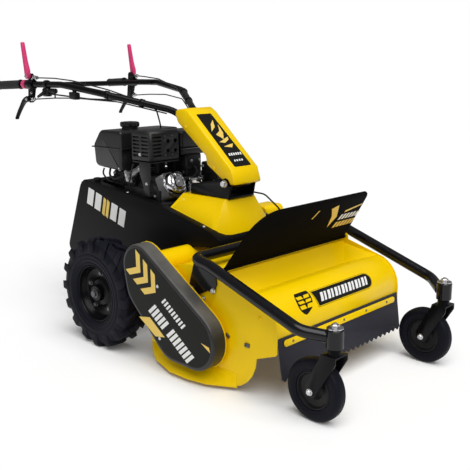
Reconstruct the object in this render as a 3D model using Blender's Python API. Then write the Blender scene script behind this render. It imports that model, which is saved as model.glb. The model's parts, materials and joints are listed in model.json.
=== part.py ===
# Walk-behind hammer knife mower, metres, +Z up, the cutter deck towards -Y.
# Every shape is drawn about the point on the ground under the drive axle, and at the end one
# empty sets the machine so that the world origin lies under the middle of its length.
import math

import bmesh
import bpy
from mathutils import Matrix, Vector

for old in list(bpy.data.objects):
    bpy.data.objects.remove(old, do_unlink=True)

# Clearances and sheet thicknesses
GAP = 0.0003
RUNNING = 0.001
SHEET = 0.003

# Drive wheels
DRIVE_RADIUS = 0.200
DRIVE_WIDTH = 0.105
DRIVE_OUTER_X = 0.400
RIM_RADIUS = 0.104
LUGS = 16
LUG_DEPTH = 0.012
WHEEL_HUB_RADIUS = 0.030
WHEEL_HUB_LENGTH = 0.085

# Caster wheels
CASTER_RADIUS = 0.095
CASTER_WIDTH = 0.044
CASTER_RIM_RADIUS = 0.058
CASTER_X = 0.300
CASTER_LEAD = 0.194
CASTER_TRAIL = 0.062
CASTER_AXLE_RADIUS = 0.006
FORK_PLATE = 0.004
STEM_RADIUS = 0.013
STEM_SLACK = 0.0008
SOCKET_RADIUS = 0.025
SOCKET_TOP_Z = 0.290
SOCKET_HEIGHT = 0.055
COLLAR_HEIGHT = 0.016

# Wishbone that carries the casters
ARM_TUBE_RADIUS = 0.018
ARM_X = 0.356
ARM_CROSS_Z = 0.412
ARM_BEND_RADIUS = 0.065
ARM_SHOULDER_Z = 0.400
ARM_GUSSET = ((0.026, -0.010), (0.040, -0.054), (0.063, -0.128), (0.016, -0.1285), (-0.033, -0.104),
              (-0.0555, -0.110), (-0.0705, -0.078), (-0.064, -0.016))

# Cutter deck, its lengths taken forward from the front of the drive tyres
DECK_HALF_WIDTH = 0.320
SIDE_PLATE = 0.004
TYRE_CLEARANCE = 0.035
DECK_REAR_Y = -DRIVE_RADIUS - TYRE_CLEARANCE
DECK_TOP_Z = 0.370
DECK_TOP_REAR_Y = DECK_REAR_Y - 0.183
HINGE_Y = DECK_REAR_Y - 0.339
VALLEY_Y = HINGE_Y - 0.066
VALLEY_Z = 0.306
NOSE_RADIUS = 0.100
HOOD_FRONT_Y = VALLEY_Y - 0.166
HOOD_LIP_Z = 0.186
HOOD_GUSSET = 0.085
SKID_Z = 0.012
SKID_RADIUS = 0.126
SKID_TOE_Y = HOOD_FRONT_Y + 0.203
SKID_FLARE = ((0.002, 0.0), (0.059, 0.030), (0.161, 0.062), (0.244, 0.062), (0.319, 0.048),
              (0.380, 0.016), (0.410, 0.0))
CASTER_PIVOT_Y = HOOD_FRONT_Y - CASTER_LEAD
ARM_CROSS_Y = DECK_TOP_REAR_Y - 0.078
ARM_SHOULDER_Y = ARM_CROSS_Y - 0.070
CURTAIN_THICKNESS = 0.004
CURTAIN_HEM_Z = 0.083
CURTAIN_TOP_Z = 0.214
CURTAIN_LEAN = 0.018
CURTAIN_TEETH = 24
STRIP_HALF_LENGTH = 0.296
STRIP_HEIGHT = 0.020

# Rotor with its swinging hammers
ROTOR_Y = DECK_REAR_Y - 0.285
ROTOR_Z = 0.158
ROTOR_TUBE_RADIUS = 0.030
ROTOR_SHAFT_RADIUS = 0.0125
ROTOR_END_CLEARANCE = 0.012
HAMMERS = 6
HAMMER_PIN_REACH = 0.066
HAMMER_PIN_RADIUS = 0.005
HAMMER_LENGTH = 0.060
HAMMER_EYE_RADIUS = 0.011
HAMMER_WIDTH = 0.056
HAMMER_THICKNESS = 0.010
EAR_THICKNESS = 0.004
BEARING_RADIUS = 0.036
BEARING_DEPTH = 0.018

# Side drive
SHAFT_Y = DECK_REAR_Y - 0.027
SHAFT_Z = 0.345
SHAFT_TUBE_RADIUS = 0.040
DRIVE_PULLEY_RADIUS = 0.055
ROTOR_PULLEY_RADIUS = 0.072
BELT_WIDTH = 0.013
BELT_THICKNESS = 0.008
SIDE_SHAFT_RADIUS = 0.010
BEVEL_HALF_WIDTH = 0.045
BEVEL_HALF_LENGTH = 0.048
GUARD_DEPTH = 0.0514
BACKPLATE_THICKNESS = 0.003
GUARD_WALL = 0.003
GUARD_TOP_RADIUS = 0.080
GUARD_FOOT_RADIUS = 0.100
GUARD_KNEE = (SHAFT_Y - 0.031, SHAFT_Z - 0.055, 0.100)
GUARD_HEEL = (ROTOR_Y + 0.090, ROTOR_Z + 0.002, 0.100)
BACKPLATE_MARGIN = 0.0025

# Transmission and chassis
AXLE_TUBE_RADIUS = 0.032
CASE_HALF_WIDTH = 0.075
CASE_HALF_LENGTH = 0.085
CASE_BOTTOM_Z = 0.105
RAIL_BOTTOM_Z = 0.345
RAIL_HEIGHT = 0.040
RAIL_WIDTH = 0.030
RAIL_X = 0.085
RAIL_REAR_Y = 0.330
RAIL_FRONT_Y = -0.333
BED_THICKNESS = 0.008

# Body tub and front cowl
TUB_HALF_WIDTH = 0.170
TUB_FLANGE = 0.030
TUB_WALL = 0.004
TUB_NOSE_Y = -0.418
TUB_NOSE_Z = 0.424
TUB_TAIL_Y = 0.492
TUB_MOUTH_RADIUS = 0.045
COWL_REAR_Y = -0.136
COWL_FRONT_Y = -0.352
COWL_TOP_Z = 0.5425
COWL_TOP_HALF_WIDTH = 0.075
COWL_WALL = 0.003
COWL_KNEE_Y = -0.367
COWL_RIM_HEIGHTS = (0.498, 0.4385, 0.428)
COWL_SKIRT = 0.026

# Handlebar post and column
POST_HALF_WIDTH = 0.048
POST_REAR_Y = -0.190
POST_FRONT_Y = -0.325
CHEEK_X = 0.058
CHEEK_THICKNESS = 0.006
PIVOT_Y = -0.353
PIVOT_Z = 0.598
PIVOT_BOLT_RADIUS = 0.008
COVER_HALF_WIDTH = 0.070
COVER_WALL = 0.003
COVER_FACE = ((-0.044, -0.004), (-0.026, 0.050), (0.183, 0.238), (0.206, 0.251), (0.257, 0.244))
COVER_BACK = ((0.259, 0.225), (0.245, 0.197), (0.103, 0.088), (0.096, 0.057), (0.025, 0.013), (-0.019, -0.004))
COVER_NOTCH_RADIUS = 0.019
COLUMN_HALF_WIDTH = 0.040

# Handlebar
BAR_RADIUS = 0.0125
BAR_SLACK = 0.0008
BAR_ROOT = (0.036, -0.130, 0.800)
BAR_MOUTH = (0.050, -0.065, 0.838)
BAR_ELBOW = (0.205, 0.165, 0.900)
BAR_SHOULDER = (0.240, 0.370, 0.930)
BAR_GRIP_START = (0.262, 0.620, 0.930)
BAR_END = (0.281, 0.762, 0.925)
BAR_BEND_RADIUS = 0.120
GRIP_RADIUS = 0.0175
PERCH_Y = 0.560
LEVER_PIVOT_RADIUS = 0.004
BRAKE_PIVOT_RISE = 0.032
CLUTCH_PIVOT_DROP = 0.058
BRAKE_LEVER_LENGTH = 0.130
CLUTCH_LEVER_LENGTH = 0.125
THROTTLE_Y = 0.460
THROTTLE_LEVER_LENGTH = 0.045

# Deflector plate
FLAP_LENGTH = 0.228
FLAP_LEAN = 34.0
FLAP_FOOT_HALF_WIDTH = 0.312
FLAP_HEAD_HALF_WIDTH = 0.284
FLAP_NEAR_CORNER = 0.105
FLAP_FAR_CORNER = 0.025
FLAP_THICKNESS = 0.004
FLAP_HINGE_RADIUS = 0.006
FLAP_PIN_RADIUS = 0.004
HINGE_AXIS = (HINGE_Y - 0.006, DECK_TOP_Z + FLAP_HINGE_RADIUS + 0.005)

# Engine
CRANK_Y = 0.045
CRANK_Z = 0.515
BLOCK_HALF_WIDTH = 0.090
CASE_TOP_Z = 0.577
CYLINDER_X = -0.040
CYLINDER_LEAN = 25.0
CYLINDER_FOOT = 0.062
CYLINDER_FINS = 4
CYLINDER_PITCH = 0.0125
FAN_X = 0.0855
FAN_OUTER_X = 0.138
FAN_RADIUS = 0.085
MUFFLER_LEFT_X = -0.150
MUFFLER_RIGHT_X = -0.005
MUFFLER_FRONT_Y = -0.047
MUFFLER_REAR_Y = 0.068
MUFFLER_BOTTOM_Z = 0.650
MUFFLER_TOP_Z = 0.765
GUARD_SHEET = 0.002
SLOT_ROWS = 6
SLOT_PITCH = 0.0135
FILTER_LEFT_X = 0.003
FILTER_BOTTOM_Z = 0.665
TANK_HALF_WIDTH = 0.150
TANK_SEAM_Z = 0.690
TANK_TOP_Z = 0.757
TANK_BOTTOM_Z = 0.604
CAP_RADIUS = 0.038
CAP_X = -0.060
CAP_Y = 0.184

# Cables
THROTTLE_CABLE_RADIUS = 0.003
CLUTCH_CABLE_RADIUS = 0.003

# Planes that the belt drive shares, from the deck's side plate outwards
BACKPLATE_X = DECK_HALF_WIDTH + SIDE_PLATE + BEARING_DEPTH + GAP
GUARD_INNER_X = BACKPLATE_X + BACKPLATE_THICKNESS + GAP
GUARD_OUTER_X = GUARD_INNER_X + GUARD_DEPTH
PULLEY_X = GUARD_INNER_X + 0.018

YELLOW = (0.98, 0.62, 0.0)
BLACK = (0.012, 0.012, 0.014)
CHARCOAL = (0.030, 0.030, 0.032)
RUBBER = (0.016, 0.018, 0.026)
CURTAIN_GREY = (0.040, 0.042, 0.060)
ALUMINIUM = (0.55, 0.56, 0.58)
CAST = (0.18, 0.18, 0.19)
STEEL = (0.32, 0.32, 0.34)
PINK = (0.68, 0.06, 0.20)

machine = bpy.data.objects.new("machine", None)
bpy.context.scene.collection.objects.link(machine)


def paint(name, colour, roughness, metallic):
    """A Principled material with one colour, roughness and metallic value."""
    material = bpy.data.materials.new(name)
    material.use_nodes = True
    shader = material.node_tree.nodes["Principled BSDF"]
    shader.inputs["Base Color"].default_value = (*colour, 1.0)
    shader.inputs["Roughness"].default_value = roughness
    shader.inputs["Metallic"].default_value = metallic
    return material


def from_bmesh(bm):
    """A loose object, closed and facing out, drawn in the machine's own frame."""
    bmesh.ops.remove_doubles(bm, verts=bm.verts, dist=1e-6)
    bmesh.ops.recalc_face_normals(bm, faces=bm.faces)
    mesh = bpy.data.meshes.new("shape")
    bm.to_mesh(mesh)
    bm.free()
    shape = bpy.data.objects.new("shape", mesh)
    bpy.context.scene.collection.objects.link(shape)
    return shape


def prism(outline, start, end, axis="X"):
    """A flat outline pushed along an axis; X takes (y, z), Y takes (x, z), Z takes (x, y)."""
    bm = bmesh.new()
    order = {"X": (2, 0, 1), "Y": (0, 2, 1), "Z": (0, 1, 2)}[axis]
    foot = []
    for u, v in outline:
        point = (u, v, start)
        foot.append(bm.verts.new([point[i] for i in order]))
    face = bm.faces.new(foot)
    grown = bmesh.ops.extrude_face_region(bm, geom=[face])
    shift = Vector([(0.0, 0.0, end - start)[i] for i in order])
    moved = [item for item in grown["geom"] if isinstance(item, bmesh.types.BMVert)]
    bmesh.ops.translate(bm, verts=moved, vec=shift)
    return from_bmesh(bm)


def block(low, high):
    """A straight-sided block between two corners."""
    outline = [(low[0], low[1]), (high[0], low[1]), (high[0], high[1]), (low[0], high[1])]
    return prism(outline, low[2], high[2], "Z")


def turned(profile, centre, steps=16, axis="X"):
    """A lathe shape from (distance along the axis, radius) pairs; one corner points straight down."""
    bm = bmesh.new()
    rings = []
    for along, radius in profile:
        count = steps if radius > 0.0 else 1
        ring = []
        for k in range(count):
            angle = math.tau * k / steps - math.pi / 2.0
            u = radius * math.cos(angle)
            v = radius * math.sin(angle)
            spot = {"X": (along, u, v), "Y": (u, along, v), "Z": (u, v, along)}[axis]
            ring.append(bm.verts.new(Vector(spot) + Vector(centre)))
        rings.append(ring)
    pairs = list(zip(rings, rings[1:]))
    if profile[0][1] > 0.0:
        pairs.append((rings[-1], rings[0]))
    for here, there in pairs:
        for k in range(steps):
            corners = [here[k % len(here)], here[(k + 1) % len(here)]]
            corners += [there[(k + 1) % len(there)], there[k % len(there)]]
            unique = list(dict.fromkeys(corners))
            if len(unique) > 2:
                bm.faces.new(unique)
    return from_bmesh(bm)


def rod(start, end, radius, steps=10):
    """A round bar between two points."""
    a, b = Vector(start), Vector(end)
    bm = bmesh.new()
    bmesh.ops.create_cone(bm, cap_ends=True, segments=steps, radius1=radius, radius2=radius,
                          depth=(b - a).length)
    turn = (b - a).to_track_quat("Z", "Y")
    bmesh.ops.rotate(bm, verts=bm.verts, matrix=turn.to_matrix())
    bmesh.ops.translate(bm, verts=bm.verts, vec=(a + b) / 2.0)
    return from_bmesh(bm)


def arc(centre, radius, first, last, steps):
    """Points along an arc, angles in degrees from the first plane axis."""
    points = []
    for k in range(steps + 1):
        angle = math.radians(first + (last - first) * k / steps)
        points.append((centre[0] + radius * math.cos(angle), centre[1] + radius * math.sin(angle)))
    return points


def rounded(corners, steps=3):
    """An outline from (u, v, radius) corners, each corner with a radius turned into an arc."""
    outline = []
    for k, (u, v, radius) in enumerate(corners):
        here = Vector((u, v))
        if radius <= 0.0:
            outline.append((u, v))
            continue
        before = Vector(corners[k - 1][:2]) - here
        after = Vector(corners[(k + 1) % len(corners)][:2]) - here
        half = before.angle(after) / 2.0
        reach = min(radius / math.tan(half), 0.49 * before.length, 0.49 * after.length)
        start = here + before.normalized() * reach
        end = here + after.normalized() * reach
        heart = here + (before.normalized() + after.normalized()).normalized() * reach / math.cos(half)
        sweep = (start - heart).angle_signed(end - heart)
        for n in range(steps + 1):
            turned_to = (start - heart).copy()
            turned_to.rotate(Matrix.Rotation(-sweep * n / steps, 2))
            outline.append(tuple(heart + turned_to))
    return outline


def bent(points, radius, steps=3):
    """A path of straight runs whose inner corners are bent to a radius, as a tube bender does."""
    path = [Vector(points[0])]
    for before, here, after in zip(points, points[1:], points[2:]):
        here = Vector(here)
        back = Vector(before) - here
        ahead = Vector(after) - here
        half = back.angle(ahead) / 2.0
        reach = min(radius / math.tan(half), 0.48 * back.length, 0.48 * ahead.length)
        start = here + back.normalized() * reach
        end = here + ahead.normalized() * reach
        for n in range(steps + 1):
            t = n / steps
            path.append(start.lerp(here, t).lerp(here.lerp(end, t), t))
    path.append(Vector(points[-1]))
    return path


def pipe(path, radius, resolution=2):
    """A round tube along a path, closed at both ends."""
    curve = bpy.data.curves.new("route", "CURVE")
    curve.dimensions = "3D"
    curve.bevel_depth = radius
    curve.bevel_resolution = resolution
    curve.use_fill_caps = True
    spline = curve.splines.new("POLY")
    spline.points.add(len(path) - 1)
    for point, spot in zip(spline.points, path):
        point.co = (*spot, 1.0)
    route = bpy.data.objects.new("route", curve)
    bpy.context.scene.collection.objects.link(route)
    bpy.context.view_layer.update()
    seen = route.evaluated_get(bpy.context.evaluated_depsgraph_get())
    bm = bmesh.new()
    bm.from_mesh(seen.to_mesh())
    bpy.data.objects.remove(route, do_unlink=True)
    return from_bmesh(bm)


def combine(base, tool, operation):
    """Joins a shape to another, or cuts it out, and takes the spent shape away."""
    modifier = base.modifiers.new("work", "BOOLEAN")
    modifier.operation = operation
    modifier.solver = "EXACT"
    modifier.object = tool
    bpy.context.view_layer.update()
    seen = base.evaluated_get(bpy.context.evaluated_depsgraph_get())
    mesh = bpy.data.meshes.new_from_object(seen)
    base.modifiers.clear()
    base.data = mesh
    bpy.data.objects.remove(tool, do_unlink=True)
    return base


def fuse(base, *others):
    for other in others:
        combine(base, other, "UNION")
    return base


def cut(base, *cutters):
    for cutter in cutters:
        combine(base, cutter, "DIFFERENCE")
    return base


def node(name, shape, material, origin=(0.0, 0.0, 0.0), carrier=None):
    """Names a finished shape, puts its origin on a point and hangs it on its carrier."""
    merge_flat_faces(shape)
    shape.name = name
    shape.data.name = name
    shape.data.transform(Matrix.Translation(-Vector(origin)))
    shape.location = Vector(origin)
    shape.data.materials.clear()
    shape.data.materials.append(material)
    shape.data.shade_smooth()
    shape.data.set_sharp_from_angle(angle=math.radians(35.0))
    shape.parent = carrier or machine
    if carrier:
        shape.location = Vector(origin) - carrier.location
    return shape


def merge_flat_faces(shape):
    """Takes out the edges that joining and cutting leave inside a flat face."""
    bm = bmesh.new()
    bm.from_mesh(shape.data)
    bmesh.ops.dissolve_limit(bm, angle_limit=math.radians(0.1), verts=bm.verts, edges=bm.edges)
    bm.to_mesh(shape.data)
    bm.free()


def pivot(name, spot):
    """An empty on a joint's axis."""
    empty = bpy.data.objects.new(name, None)
    empty.location = spot
    empty.parent = machine
    bpy.context.scene.collection.objects.link(empty)
    return empty


yellow_paint = paint("yellow_paint", YELLOW, 0.30, 0.0)
black_paint = paint("black_paint", BLACK, 0.28, 0.0)
black_plastic = paint("black_plastic", CHARCOAL, 0.50, 0.0)
tyre_rubber = paint("tyre_rubber", RUBBER, 0.75, 0.0)
curtain_rubber = paint("curtain_rubber", CURTAIN_GREY, 0.70, 0.0)
grip_rubber = paint("grip_rubber", BLACK, 0.85, 0.0)
cast_metal = paint("cast_metal", CAST, 0.55, 0.8)
bright_metal = paint("bright_metal", ALUMINIUM, 0.35, 1.0)
plain_steel = paint("plain_steel", STEEL, 0.40, 1.0)
pink_plastic = paint("pink_plastic", PINK, 0.40, 0.0)

SIDES = {"left": -1.0, "right": 1.0}


def hull(circles, steps=12):
    """The outline of a belt round pulleys: the convex hull of circles given as (u, v, radius)."""
    points = []
    for u, v, radius in circles:
        points += arc((u, v), radius, 0.0, 360.0 - 360.0 / steps, steps - 1)
    points.sort()
    chains = []
    for ordered in (points, points[::-1]):
        chain = []
        for point in ordered:
            while len(chain) > 1 and turns_right(chain[-2], chain[-1], point):
                chain.pop()
            chain.append(point)
        chains += chain[:-1]
    return chains


def turns_right(a, b, c):
    """Whether the corner a, b, c turns right or runs straight."""
    return (b[0] - a[0]) * (c[1] - a[1]) - (b[1] - a[1]) * (c[0] - a[0]) <= 1e-12


def offset_line(points, distance, closed):
    """The points of a line or outline, each moved sideways by a distance to the line's left."""
    moved = []
    count = len(points)
    for k, (u, v) in enumerate(points):
        here = Vector((u, v))
        before = here - Vector(points[k - 1])
        after = Vector(points[(k + 1) % count]) - here
        if not closed and k == 0:
            before = after
        if not closed and k == count - 1:
            after = before
        left = Vector((-before.y, before.x)).normalized()
        next_left = Vector((-after.y, after.x)).normalized()
        middle = (left + next_left).normalized()
        moved.append(tuple(here + middle * distance / middle.dot(left)))
    return moved


def sheet(points, thickness, half_width):
    """Sheet metal bent along a line of (y, z) points, its thickness laid on the line's left."""
    outline = list(points) + offset_line(points, thickness, False)[::-1]
    return prism(outline, -half_width, half_width)


def loft(rings):
    """A closed shape through rings that have equally many points."""
    bm = bmesh.new()
    loops = [[bm.verts.new(point) for point in ring] for ring in rings]
    for here, there in zip(loops, loops[1:]):
        for k in range(len(here)):
            n = (k + 1) % len(here)
            bm.faces.new([here[k], here[n], there[n], there[k]])
    bm.faces.new(loops[0])
    bm.faces.new(loops[-1])
    return from_bmesh(bm)


def soften(shape, width, segments=1):
    """Rounds the square edges of a shape."""
    modifier = shape.modifiers.new("edges", "BEVEL")
    modifier.width = width
    modifier.segments = segments
    modifier.limit_method = "ANGLE"
    modifier.angle_limit = math.radians(50.0)
    bpy.context.view_layer.update()
    seen = shape.evaluated_get(bpy.context.evaluated_depsgraph_get())
    mesh = bpy.data.meshes.new_from_object(seen)
    shape.modifiers.clear()
    shape.data = mesh
    return shape


def turn_about(shape, point, angle, axis="X"):
    """Turns a shape about a line through a point."""
    move = Matrix.Translation(Vector(point))
    shape.data.transform(move @ Matrix.Rotation(math.radians(angle), 4, axis) @ move.inverted())
    return shape


def drive_tyre(side, sign, carrier):
    """Tractor tyre: the tread rises into lugs that lie in a V, one half staggered to the other."""
    half = DRIVE_WIDTH / 2.0
    bore = RIM_RADIUS + GAP
    floor = DRIVE_RADIUS - LUG_DEPTH
    pitch = math.tau / LUGS
    bulge = bore + 0.48 * (DRIVE_RADIUS - bore)
    stations = [(0.78, bore, bore, 0.0), (1.0, bulge, bulge, 0.0), (0.90, floor, DRIVE_RADIUS - 0.003, 0.05)]
    stations += [(0.12, floor + 0.002, DRIVE_RADIUS, 0.55)]
    shares = (0.0, 0.15, 0.5, 0.65)
    start = -math.pi / 2.0 - (shares[1] + stations[-1][3]) * pitch
    rings = []
    for part, lugs in ((1.0, (1, 2)), (-1.0, (3, 0))):
        half_rings = []
        for across, low, high, lead in stations:
            ring = []
            for k in range(LUGS * len(shares)):
                turn, slot = divmod(k, len(shares))
                angle = start + pitch * (turn + shares[slot] + lead)
                radius = high if slot in lugs else low
                ring.append((sign * part * across * half, radius * math.cos(angle), radius * math.sin(angle)))
            half_rings.append(ring)
        rings += half_rings if part > 0.0 else half_rings[::-1]
    bm = bmesh.new()
    loops = [[bm.verts.new(Vector(p) + carrier.location) for p in ring] for ring in rings]
    count = LUGS * len(shares)
    for here, there in zip(loops, loops[1:] + loops[:1]):
        for k in range(count):
            n = (k + 1) % count
            bm.faces.new([here[k], here[n], there[n], there[k]])
    node("drive_tyre_" + side, from_bmesh(bm), tyre_rubber, carrier.location, carrier)


def drive_rim(side, sign, carrier):
    """Pressed steel rim with a dished disc, welded to the hub that slides on the axle."""
    barrel = RIM_RADIUS - GAP
    half = 0.40 * DRIVE_WIDTH
    profile = [(-half, barrel), (half, barrel), (half, barrel - 0.006), (0.55 * half, barrel - 0.013)]
    profile += [(0.010, barrel - 0.018), (0.010, 0.054), (0.019, 0.046), (0.019, WHEEL_HUB_RADIUS)]
    profile += [(0.040, WHEEL_HUB_RADIUS - 0.008), (0.040, 0.0)]
    profile += [(-WHEEL_HUB_LENGTH, 0.0), (-WHEEL_HUB_LENGTH, WHEEL_HUB_RADIUS), (0.004, WHEEL_HUB_RADIUS)]
    profile += [(0.004, barrel - 0.022), (-half, barrel - 0.006)]
    profile = [(sign * along, radius) for along, radius in profile]
    node("drive_rim_" + side, turned(profile, carrier.location), black_paint, carrier.location, carrier)


def drive_wheels():
    for side, sign in SIDES.items():
        middle = DRIVE_OUTER_X - DRIVE_WIDTH / 2.0
        carrier = pivot("drive_wheel_axis_" + side, (sign * middle, 0.0, DRIVE_RADIUS))
        drive_tyre(side, sign, carrier)
        drive_rim(side, sign, carrier)


def caster_fork(side, x, carrier):
    """Bent plate fork: a bridge over the wheel, two arms that trail to the axle, and the stem."""
    top = SOCKET_TOP_Z - SOCKET_HEIGHT - COLLAR_HEIGHT - RUNNING
    inner = CASTER_WIDTH / 2.0 + 0.004
    outer = inner + FORK_PLATE
    axle_y = CASTER_PIVOT_Y + CASTER_TRAIL
    outline = [(CASTER_PIVOT_Y - 0.024, top, 0.004), (CASTER_PIVOT_Y - 0.024, top - 0.020, 0.010)]
    outline += [(axle_y - 0.018, CASTER_RADIUS - 0.010, 0.012), (axle_y + 0.012, CASTER_RADIUS - 0.016, 0.012)]
    outline += [(axle_y + 0.020, CASTER_RADIUS + 0.012, 0.012), (CASTER_PIVOT_Y + 0.030, top - 0.012, 0.010)]
    outline += [(CASTER_PIVOT_Y + 0.026, top, 0.004)]
    arm = rounded(outline, 2)
    fork = prism(arm, x - outer, x - inner)
    other = prism(arm, x + inner, x + outer)
    bridge = block((x - outer, CASTER_PIVOT_Y - 0.024, top - 0.005), (x + outer, CASTER_PIVOT_Y + 0.026, top))
    stem_top = SOCKET_TOP_Z + RUNNING
    stem = [(top - 0.002, 0.0), (top - 0.002, 0.020), (top + COLLAR_HEIGHT, 0.020)]
    stem += [(top + COLLAR_HEIGHT, STEM_RADIUS), (stem_top, STEM_RADIUS), (stem_top, 0.024)]
    stem += [(stem_top + 0.003, 0.024), (stem_top + 0.003, 0.011), (stem_top + 0.010, 0.011)]
    stem += [(stem_top + 0.010, 0.0)]
    post = turned(stem, (x, CASTER_PIVOT_Y, 0.0), 10, "Z")
    bolt = rod((x - outer - 0.006, axle_y, CASTER_RADIUS), (x + outer + 0.006, axle_y, CASTER_RADIUS),
               CASTER_AXLE_RADIUS, 8)
    fuse(fork, other, bridge, post, bolt)
    node("caster_fork_" + side, fork, black_paint, carrier.location, carrier)


def caster_wheel(side, carrier):
    """Solid rubber tyre on a dished hub that turns on the axle bolt."""
    half = CASTER_WIDTH / 2.0
    bore = CASTER_RIM_RADIUS
    tread = CASTER_RADIUS - bore
    tyre = [(-0.80 * half, bore), (-half, bore + 0.25 * tread), (-0.94 * half, bore + 0.72 * tread)]
    tyre += [(-0.52 * half, CASTER_RADIUS - 0.002), (0.0, CASTER_RADIUS)]
    tyre += [(-along, radius) for along, radius in tyre[-2::-1]]
    node("caster_tyre_" + side, turned(tyre, carrier.location), tyre_rubber, carrier.location, carrier)
    rim = bore - GAP
    hub = [(-0.76 * half, rim), (-0.76 * half, rim - 0.005), (-0.25 * half, 0.022), (-half, 0.018)]
    hub += [(-half, CASTER_AXLE_RADIUS + RUNNING)]
    hub += [(-along, radius) for along, radius in hub[::-1]]
    node("caster_hub_" + side, turned(hub, carrier.location), black_plastic, carrier.location, carrier)


def casters():
    for side, sign in SIDES.items():
        x = sign * CASTER_X
        swivel = pivot("caster_swivel_axis_" + side, (x, CASTER_PIVOT_Y, SOCKET_TOP_Z))
        caster_fork(side, x, swivel)
        axle = pivot("caster_axle_" + side, (x, CASTER_PIVOT_Y + CASTER_TRAIL, CASTER_RADIUS))
        caster_wheel(side, axle)


def wishbone():
    """Bent round tube from one caster socket round behind the deck to the other."""
    front = [(CASTER_X, CASTER_PIVOT_Y + 0.015, 0.264), (ARM_X, CASTER_PIVOT_Y + 0.080, 0.281)]
    rear = [(ARM_X, ARM_SHOULDER_Y, ARM_SHOULDER_Z), (ARM_X, ARM_CROSS_Y, ARM_CROSS_Z)]
    right = front + rear
    left = [(-x, y, z) for x, y, z in right]
    frame = pipe(bent(left + right[::-1], ARM_BEND_RADIUS), ARM_TUBE_RADIUS)
    for sign in SIDES.values():
        x = sign * CASTER_X
        socket = [(SOCKET_TOP_Z - SOCKET_HEIGHT, 0.0), (SOCKET_TOP_Z - SOCKET_HEIGHT, SOCKET_RADIUS)]
        socket += [(SOCKET_TOP_Z, SOCKET_RADIUS), (SOCKET_TOP_Z, 0.0)]
        fuse(frame, turned(socket, (x, CASTER_PIVOT_Y, 0.0), 14, "Z"))
        fuse(frame, wishbone_bracket(sign), wishbone_saddle(sign))
        bore = SOCKET_TOP_Z + 0.010
        cut(frame, rod((x, CASTER_PIVOT_Y, 0.2), (x, CASTER_PIVOT_Y, bore), STEM_RADIUS + STEM_SLACK, 20))
    node("wishbone_frame", frame, black_paint)


def wishbone_bracket(sign):
    """Gusset from the rear bend down to the bolt on the deck's side plate."""
    inner = DECK_HALF_WIDTH + SIDE_PLATE + GAP
    edge = [(ARM_CROSS_Y + back, ARM_CROSS_Z + rise, 0.006) for back, rise in ARM_GUSSET]
    gusset = prism(rounded(edge, 1), sign * inner, sign * (inner + 0.006))
    front, rear = ARM_SHOULDER_Y + 0.008, ARM_CROSS_Y - 0.006
    near, far = sorted((sign * inner, sign * ARM_X))
    return fuse(gusset, block((near, front, ARM_SHOULDER_Z - 0.010), (far, rear, ARM_SHOULDER_Z + 0.002)))


def wishbone_saddle(sign):
    """Foot that seats the cross tube on the deck."""
    low = (sign * 0.120 - 0.020, ARM_CROSS_Y - 0.014, DECK_TOP_Z + GAP)
    high = (sign * 0.120 + 0.020, ARM_CROSS_Y + 0.014, ARM_CROSS_Z)
    return block(low, high)


def deck_line():
    """The deck sheet's inner line from its rear hem up and forward to the hinge."""
    back = DECK_REAR_Y - 0.010
    return [(back, 0.080), (back, 0.235), (DECK_REAR_Y - 0.115, DECK_TOP_Z - 0.021),
            (DECK_TOP_REAR_Y, DECK_TOP_Z - SHEET), (HINGE_Y, DECK_TOP_Z - SHEET)]


def hood_line():
    """The front hood's outer line from the hinge wall through the valley and over the crest."""
    crest = arc((HOOD_FRONT_Y + NOSE_RADIUS, VALLEY_Z - 0.071), NOSE_RADIUS, 98.0, 180.0, 6)
    wall = [(HINGE_Y, DECK_TOP_Z - SHEET - GAP), (HINGE_Y - 0.004, DECK_TOP_Z - 0.013), (VALLEY_Y, VALLEY_Z)]
    return wall + crest + [(HOOD_FRONT_Y, HOOD_LIP_Z)]


def deck_shell():
    """Top and rear wall of the deck."""
    shell = sheet(deck_line()[::-1], SHEET, DECK_HALF_WIDTH - GAP)
    node("deck_shell", shell, yellow_paint)


def front_hood():
    """Front hood: the hinge wall, the valley and the rounded nose, with a slanted gusset at each end."""
    hood = sheet(hood_line(), SHEET, DECK_HALF_WIDTH - GAP)
    wall_top, valley, rise = hood_line()[1:4]
    for sign in SIDES.values():
        end = sign * (DECK_HALF_WIDTH - GAP)
        foot = sign * (DECK_HALF_WIDTH - HOOD_GUSSET)
        corners = [(end, *wall_top), (end, valley[0], valley[1] - 0.001), (end, *rise), (foot, *valley)]
        fuse(hood, tetrahedron(corners))
    node("front_hood", hood, yellow_paint)


def tetrahedron(corners):
    bm = bmesh.new()
    verts = [bm.verts.new(corner) for corner in corners]
    for skip in range(4):
        bm.faces.new([vert for k, vert in enumerate(verts) if k != skip])
    return from_bmesh(bm)


def side_plate_outline():
    """Side plate: the skid below, the step under the nose, and the deck's own line above."""
    margin = 0.004
    nose = offset_line(hood_line()[3:], -margin, False)
    skid = rounded([(DECK_REAR_Y, SKID_Z, 0.015), (SKID_TOE_Y, SKID_Z, 0.0), (SKID_TOE_Y, 0.200, 0.0),
                    (DECK_REAR_Y, 0.200, 0.0)])[:-3]
    skid += arc((SKID_TOE_Y, SKID_Z + SKID_RADIUS), SKID_RADIUS, 270.0, 182.0, 6)
    skid += rounded([(HOOD_FRONT_Y - 0.004, 0.164, 0.010), (HOOD_FRONT_Y - 0.004, 0.300, 0.0),
                     (SKID_TOE_Y, 0.300, 0.0), (SKID_TOE_Y - SKID_RADIUS, 0.140, 0.0)])[:-3]
    top = DECK_TOP_Z + margin
    rear = [(HINGE_Y - 0.012, top), (DECK_TOP_REAR_Y, top), (DECK_REAR_Y - 0.112, DECK_TOP_Z - 0.014)]
    rear += [(DECK_REAR_Y - 0.004, 0.238)]
    return skid + nose[::-1][1:] + rear


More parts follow.
